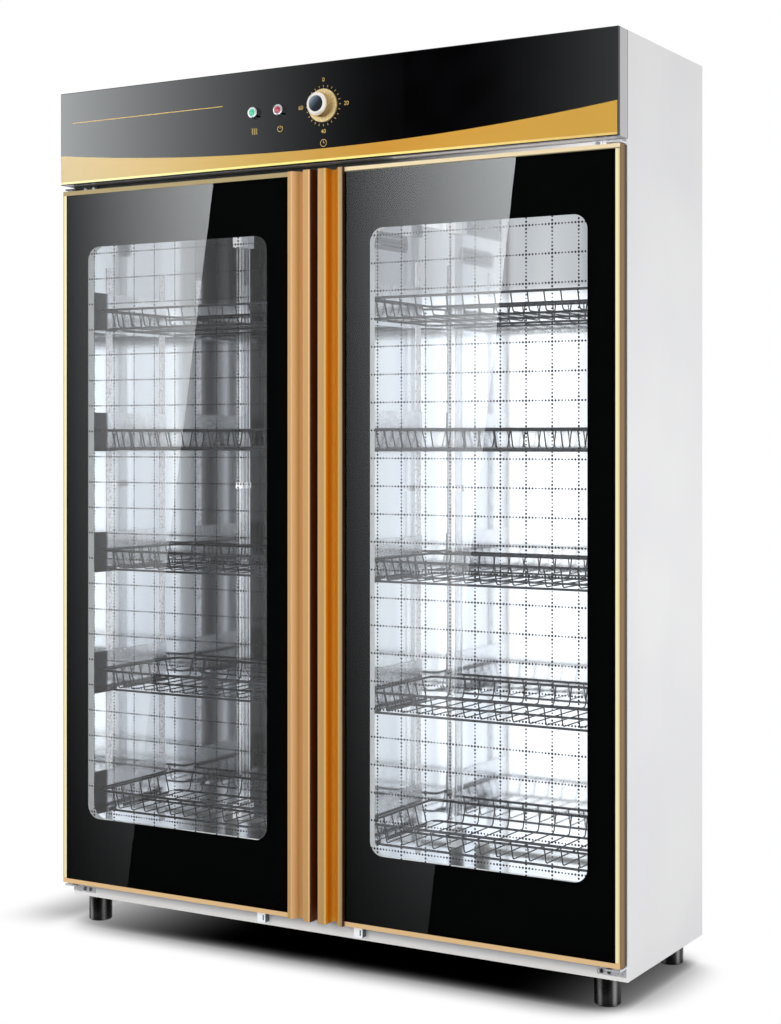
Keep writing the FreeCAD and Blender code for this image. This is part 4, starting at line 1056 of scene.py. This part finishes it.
def rounded(tree, curve, radius, count):
    """A curve with its corners bent to a radius, in a few straight pieces."""
    return add(tree, "GeometryNodeFilletCurve", {"Curve": curve, "Radius": radius,
                                                 "Count": count}, mode="POLY")


def bent_wire(tree, corners):
    """A curve through corners, each a size and the share of it on x, y and z."""
    line = add(tree, "GeometryNodeMeshLine", {"Count": len(corners)})
    curve = add(tree, "GeometryNodeMeshToCurve", {"Mesh": line})
    choose = add(tree, "GeometryNodeIndexSwitch", data_type="VECTOR")
    while len(choose.index_switch_items) < len(corners):
        choose.index_switch_items.new()
    points = [add(tree, "ShaderNodeVectorMath", corner, operation="MULTIPLY")
              for corner in corners]
    feed(choose, [add(tree, "GeometryNodeInputIndex")] + points)
    return add(tree, "GeometryNodeSetPosition", {"Geometry": curve, "Position": choose})


def row_of(tree, curve, count, span, axis):
    """A curve set along an axis, both ends of the span left out."""
    cells = add(tree, "ShaderNodeMath", [count, 1.0], operation="ADD")
    step = add(tree, "ShaderNodeMath", [span, cells], operation="DIVIDE")
    start = add(tree, "ShaderNodeMath", [span, -0.5, step], operation="MULTIPLY_ADD")
    start, step = [add(tree, "ShaderNodeVectorMath", {0: axis, "Scale": length},
                       operation="SCALE") for length in (start, step)]
    line = add(tree, "GeometryNodeMeshLine", {"Count": count, "Start Location": start,
                                              "Offset": step})
    placed = add(tree, "GeometryNodeInstanceOnPoints", {"Points": line, "Instance": curve})
    return add(tree, "GeometryNodeRealizeInstances", [placed])


# %% Wires of a rack
thick_sides, thin_sides = 10, 8
thin_bend = 0.007
loops = []
for length, depth, radius in ((given["Length"], given["Depth"], given["Rim radius"]),
                              (low_length, low_depth, given["Base radius"])):
    loop = add(tree, "GeometryNodeCurvePrimitiveQuadrilateral", [length, depth])
    loops.append(swept(tree, rounded(tree, loop, given["Corner"], 6), radius, thick_sides))
sunk = add(tree, "ShaderNodeCombineXYZ", {"Z": down})
loops[1] = add(tree, "GeometryNodeTransform", [loops[1], sunk])
middle_bar = bent_wire(tree, [(base_size, (-0.5, 0, 1)), (base_size, (0.5, 0, 1))])
middle = swept(tree, middle_bar, given["Base radius"], thick_sides)
across_wire = bent_wire(tree, [(rim_size, (0, -0.5, 0)), (wire_size, (0, -0.5, 1)),
                               (wire_size, (0, 0.5, 1)), (rim_size, (0, 0.5, 0))])
across_wire = rounded(tree, across_wire, thin_bend, 4)
end_wire = bent_wire(tree, [(base_size, (0.5, 0, 1)), (rim_size, (0.5, 0, 0))])
fence, right_end = [
    swept(tree, row_of(tree, wire, count, span, axis), given["Thin radius"], thin_sides)
    for wire, count, span, axis in ((across_wire, given["Columns"], low_length, (1, 0, 0)),
                                    (end_wire, given["Rows"], low_depth, (0, 1, 0)))]
left_end = add(tree, "GeometryNodeTransform", {"Geometry": right_end, "Rotation": (0, 0, math.pi)})
wires = add(tree, "GeometryNodeJoinGeometry")
for piece in loops + [fence, right_end, left_end, middle]:
    feed(wires, [piece])
smooth = add(tree, "GeometryNodeSetShadeSmooth", [wires])
close_tree(tree, smooth, given["Finish"])
rack_mesh = grow("wire_rack", tree, rack_sizes)

# %% Ten racks
for side in ("left", "right"):
    for level in range(1, 6):
        node = "rack_%s_%d" % (side, level)
        low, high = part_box(node)
        middle = Vector(((low.x + high.x) / 2, (low.y + high.y) / 2, high.z - rim))
        wire = place_mesh(node + "_wire", rack_mesh, Matrix.Translation(middle))
        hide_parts(node)
        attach(wire, node)
print("racks", [round(c, 4) for c in wire.dimensions])

# %% [markdown]
# ## Prints on the header
# The dial round the knob is printed in gold: a tick every 15 degrees, and plain minutes at the
# quarters. Ticks are bars set on a circle of points, each turned to face outwards.

# %% Dial ticks
tick_sizes = {"Ring radius": 0.0355, "Tick length": 0.004, "Tick width": 0.0009, "Count": 24,
              "Finish": finishes["gold_ink"]}
tree, given = new_tree("dial ticks", tick_sizes)
ring = add(tree, "GeometryNodeMeshCircle", [given["Count"], given["Ring radius"]])
position = add(tree, "GeometryNodeInputPosition")
outwards = add(tree, "FunctionNodeAlignRotationToVector", {"Vector": position}, axis="X")
bar = add(tree, "GeometryNodeMeshGrid", [given["Tick length"], given["Tick width"], 2, 2])
ticks = add(tree, "GeometryNodeInstanceOnPoints", {"Points": ring, "Instance": bar,
                                                   "Rotation": outwards})
close_tree(tree, ticks, given["Finish"])
ticks_mesh = grow("dial_ticks", tree, tick_sizes)

# %% [markdown]
# Numbers are text objects turned into meshes. The two signs under the lamps and the one under
# the knob are plain ones that any such cabinet may have: warm air, a power sign and a clock.
# They are strokes of even width along short paths.

# %% Flat prints
def arc(radius, start, end, steps=28):
    """Points of an arc round the origin, in degrees."""
    turns = [math.radians(start + (end - start) * i / steps) for i in range(steps + 1)]
    return [(radius * math.cos(turn), radius * math.sin(turn)) for turn in turns]


def flat_print(name, width, lines):
    """One flat mesh of strokes: lines of even width through points in the plane."""
    points, faces = [], []
    for line in lines:
        for i, here in enumerate(line):
            before = line[max(i - 1, 0)]
            after = line[min(i + 1, len(line) - 1)]
            along = (Vector(after) - Vector(before)).normalized()
            aside = Vector((-along.y, along.x)) * width / 2
            points += [(*(Vector(here) + aside), 0), (*(Vector(here) - aside), 0)]
            if i:
                b = len(points) - 2
                faces.append((b - 2, b - 1, b + 1, b))
    mesh = bpy.data.meshes.new(name)
    mesh.from_pydata(points, [], faces)
    return mesh


def number_mesh(text, size):
    """A number as a flat mesh, centred."""
    curve = bpy.data.curves.new("number", "FONT")
    curve.body = text
    curve.size = size
    curve.align_x = "CENTER"
    curve.align_y = "CENTER"
    made = put("number", curve)
    mesh = bpy.data.meshes.new_from_object(
        made.evaluated_get(bpy.context.evaluated_depsgraph_get()))
    bpy.data.objects.remove(made)
    return mesh


# %% Put the prints on the header
ink_lift = 0.00005


def join_prints(name, placed):
    """One object from flat meshes, stood up at their places (x, z) on the header."""
    gathered = bmesh.new()
    for mesh, x, z in placed:
        copy = mesh.copy()
        copy.transform(Matrix.Translation((x, fascia_front - ink_lift, z)) @ upright)
        gathered.from_mesh(copy)
    mesh = bpy.data.meshes.new(name)
    gathered.to_mesh(mesh)
    gathered.free()
    mesh.materials.append(finishes["gold_ink"])
    made = put(name, mesh)
    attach(made, "cabinet")
    print(name, len(mesh.polygons), "faces")


number_size = 0.0105
numbers = (("0", 0, 0.047), ("20", 0.049, 0), ("40", 0, -0.047), ("60", -0.049, 0))
join_prints("dial_print", [(ticks_mesh, knob_x, knob_z)] + [
    (number_mesh(text, number_size), knob_x + x, knob_z + z) for text, x, z in numbers])

clock = flat_print("clock", 0.0009, [arc(0.0065, 0, 360), [(0, 0.0042), (0, 0), (0.0032, 0)]])
power = flat_print("power", 0.0011, [arc(0.0055, 125, 415), [(0, 0.0068), (0, 0.0005)]])
warm_air = flat_print("warm air", 0.0011, [
    [(x + 0.0012 * math.sin(t * 1.2), -0.006 + t * 0.0012) for t in range(11)]
    for x in (-0.0045, 0.0, 0.0045)])
rule = flat_print("rule", 0.0014, [[(-0.1825, 0), (0.1825, 0)]])
lamp_x = [(low.x + high.x) / 2 for low, high in map(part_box, ("green_lens", "red_lens"))]
signs_z = knob_z - 0.034
join_prints("lamp_signs", [(warm_air, lamp_x[0], signs_z), (power, lamp_x[1], signs_z)])
join_prints("clock_sign", [(clock, knob_x, knob_z - 0.068)])
join_prints("header_rule", [(rule, -0.3875, 1.5885)])
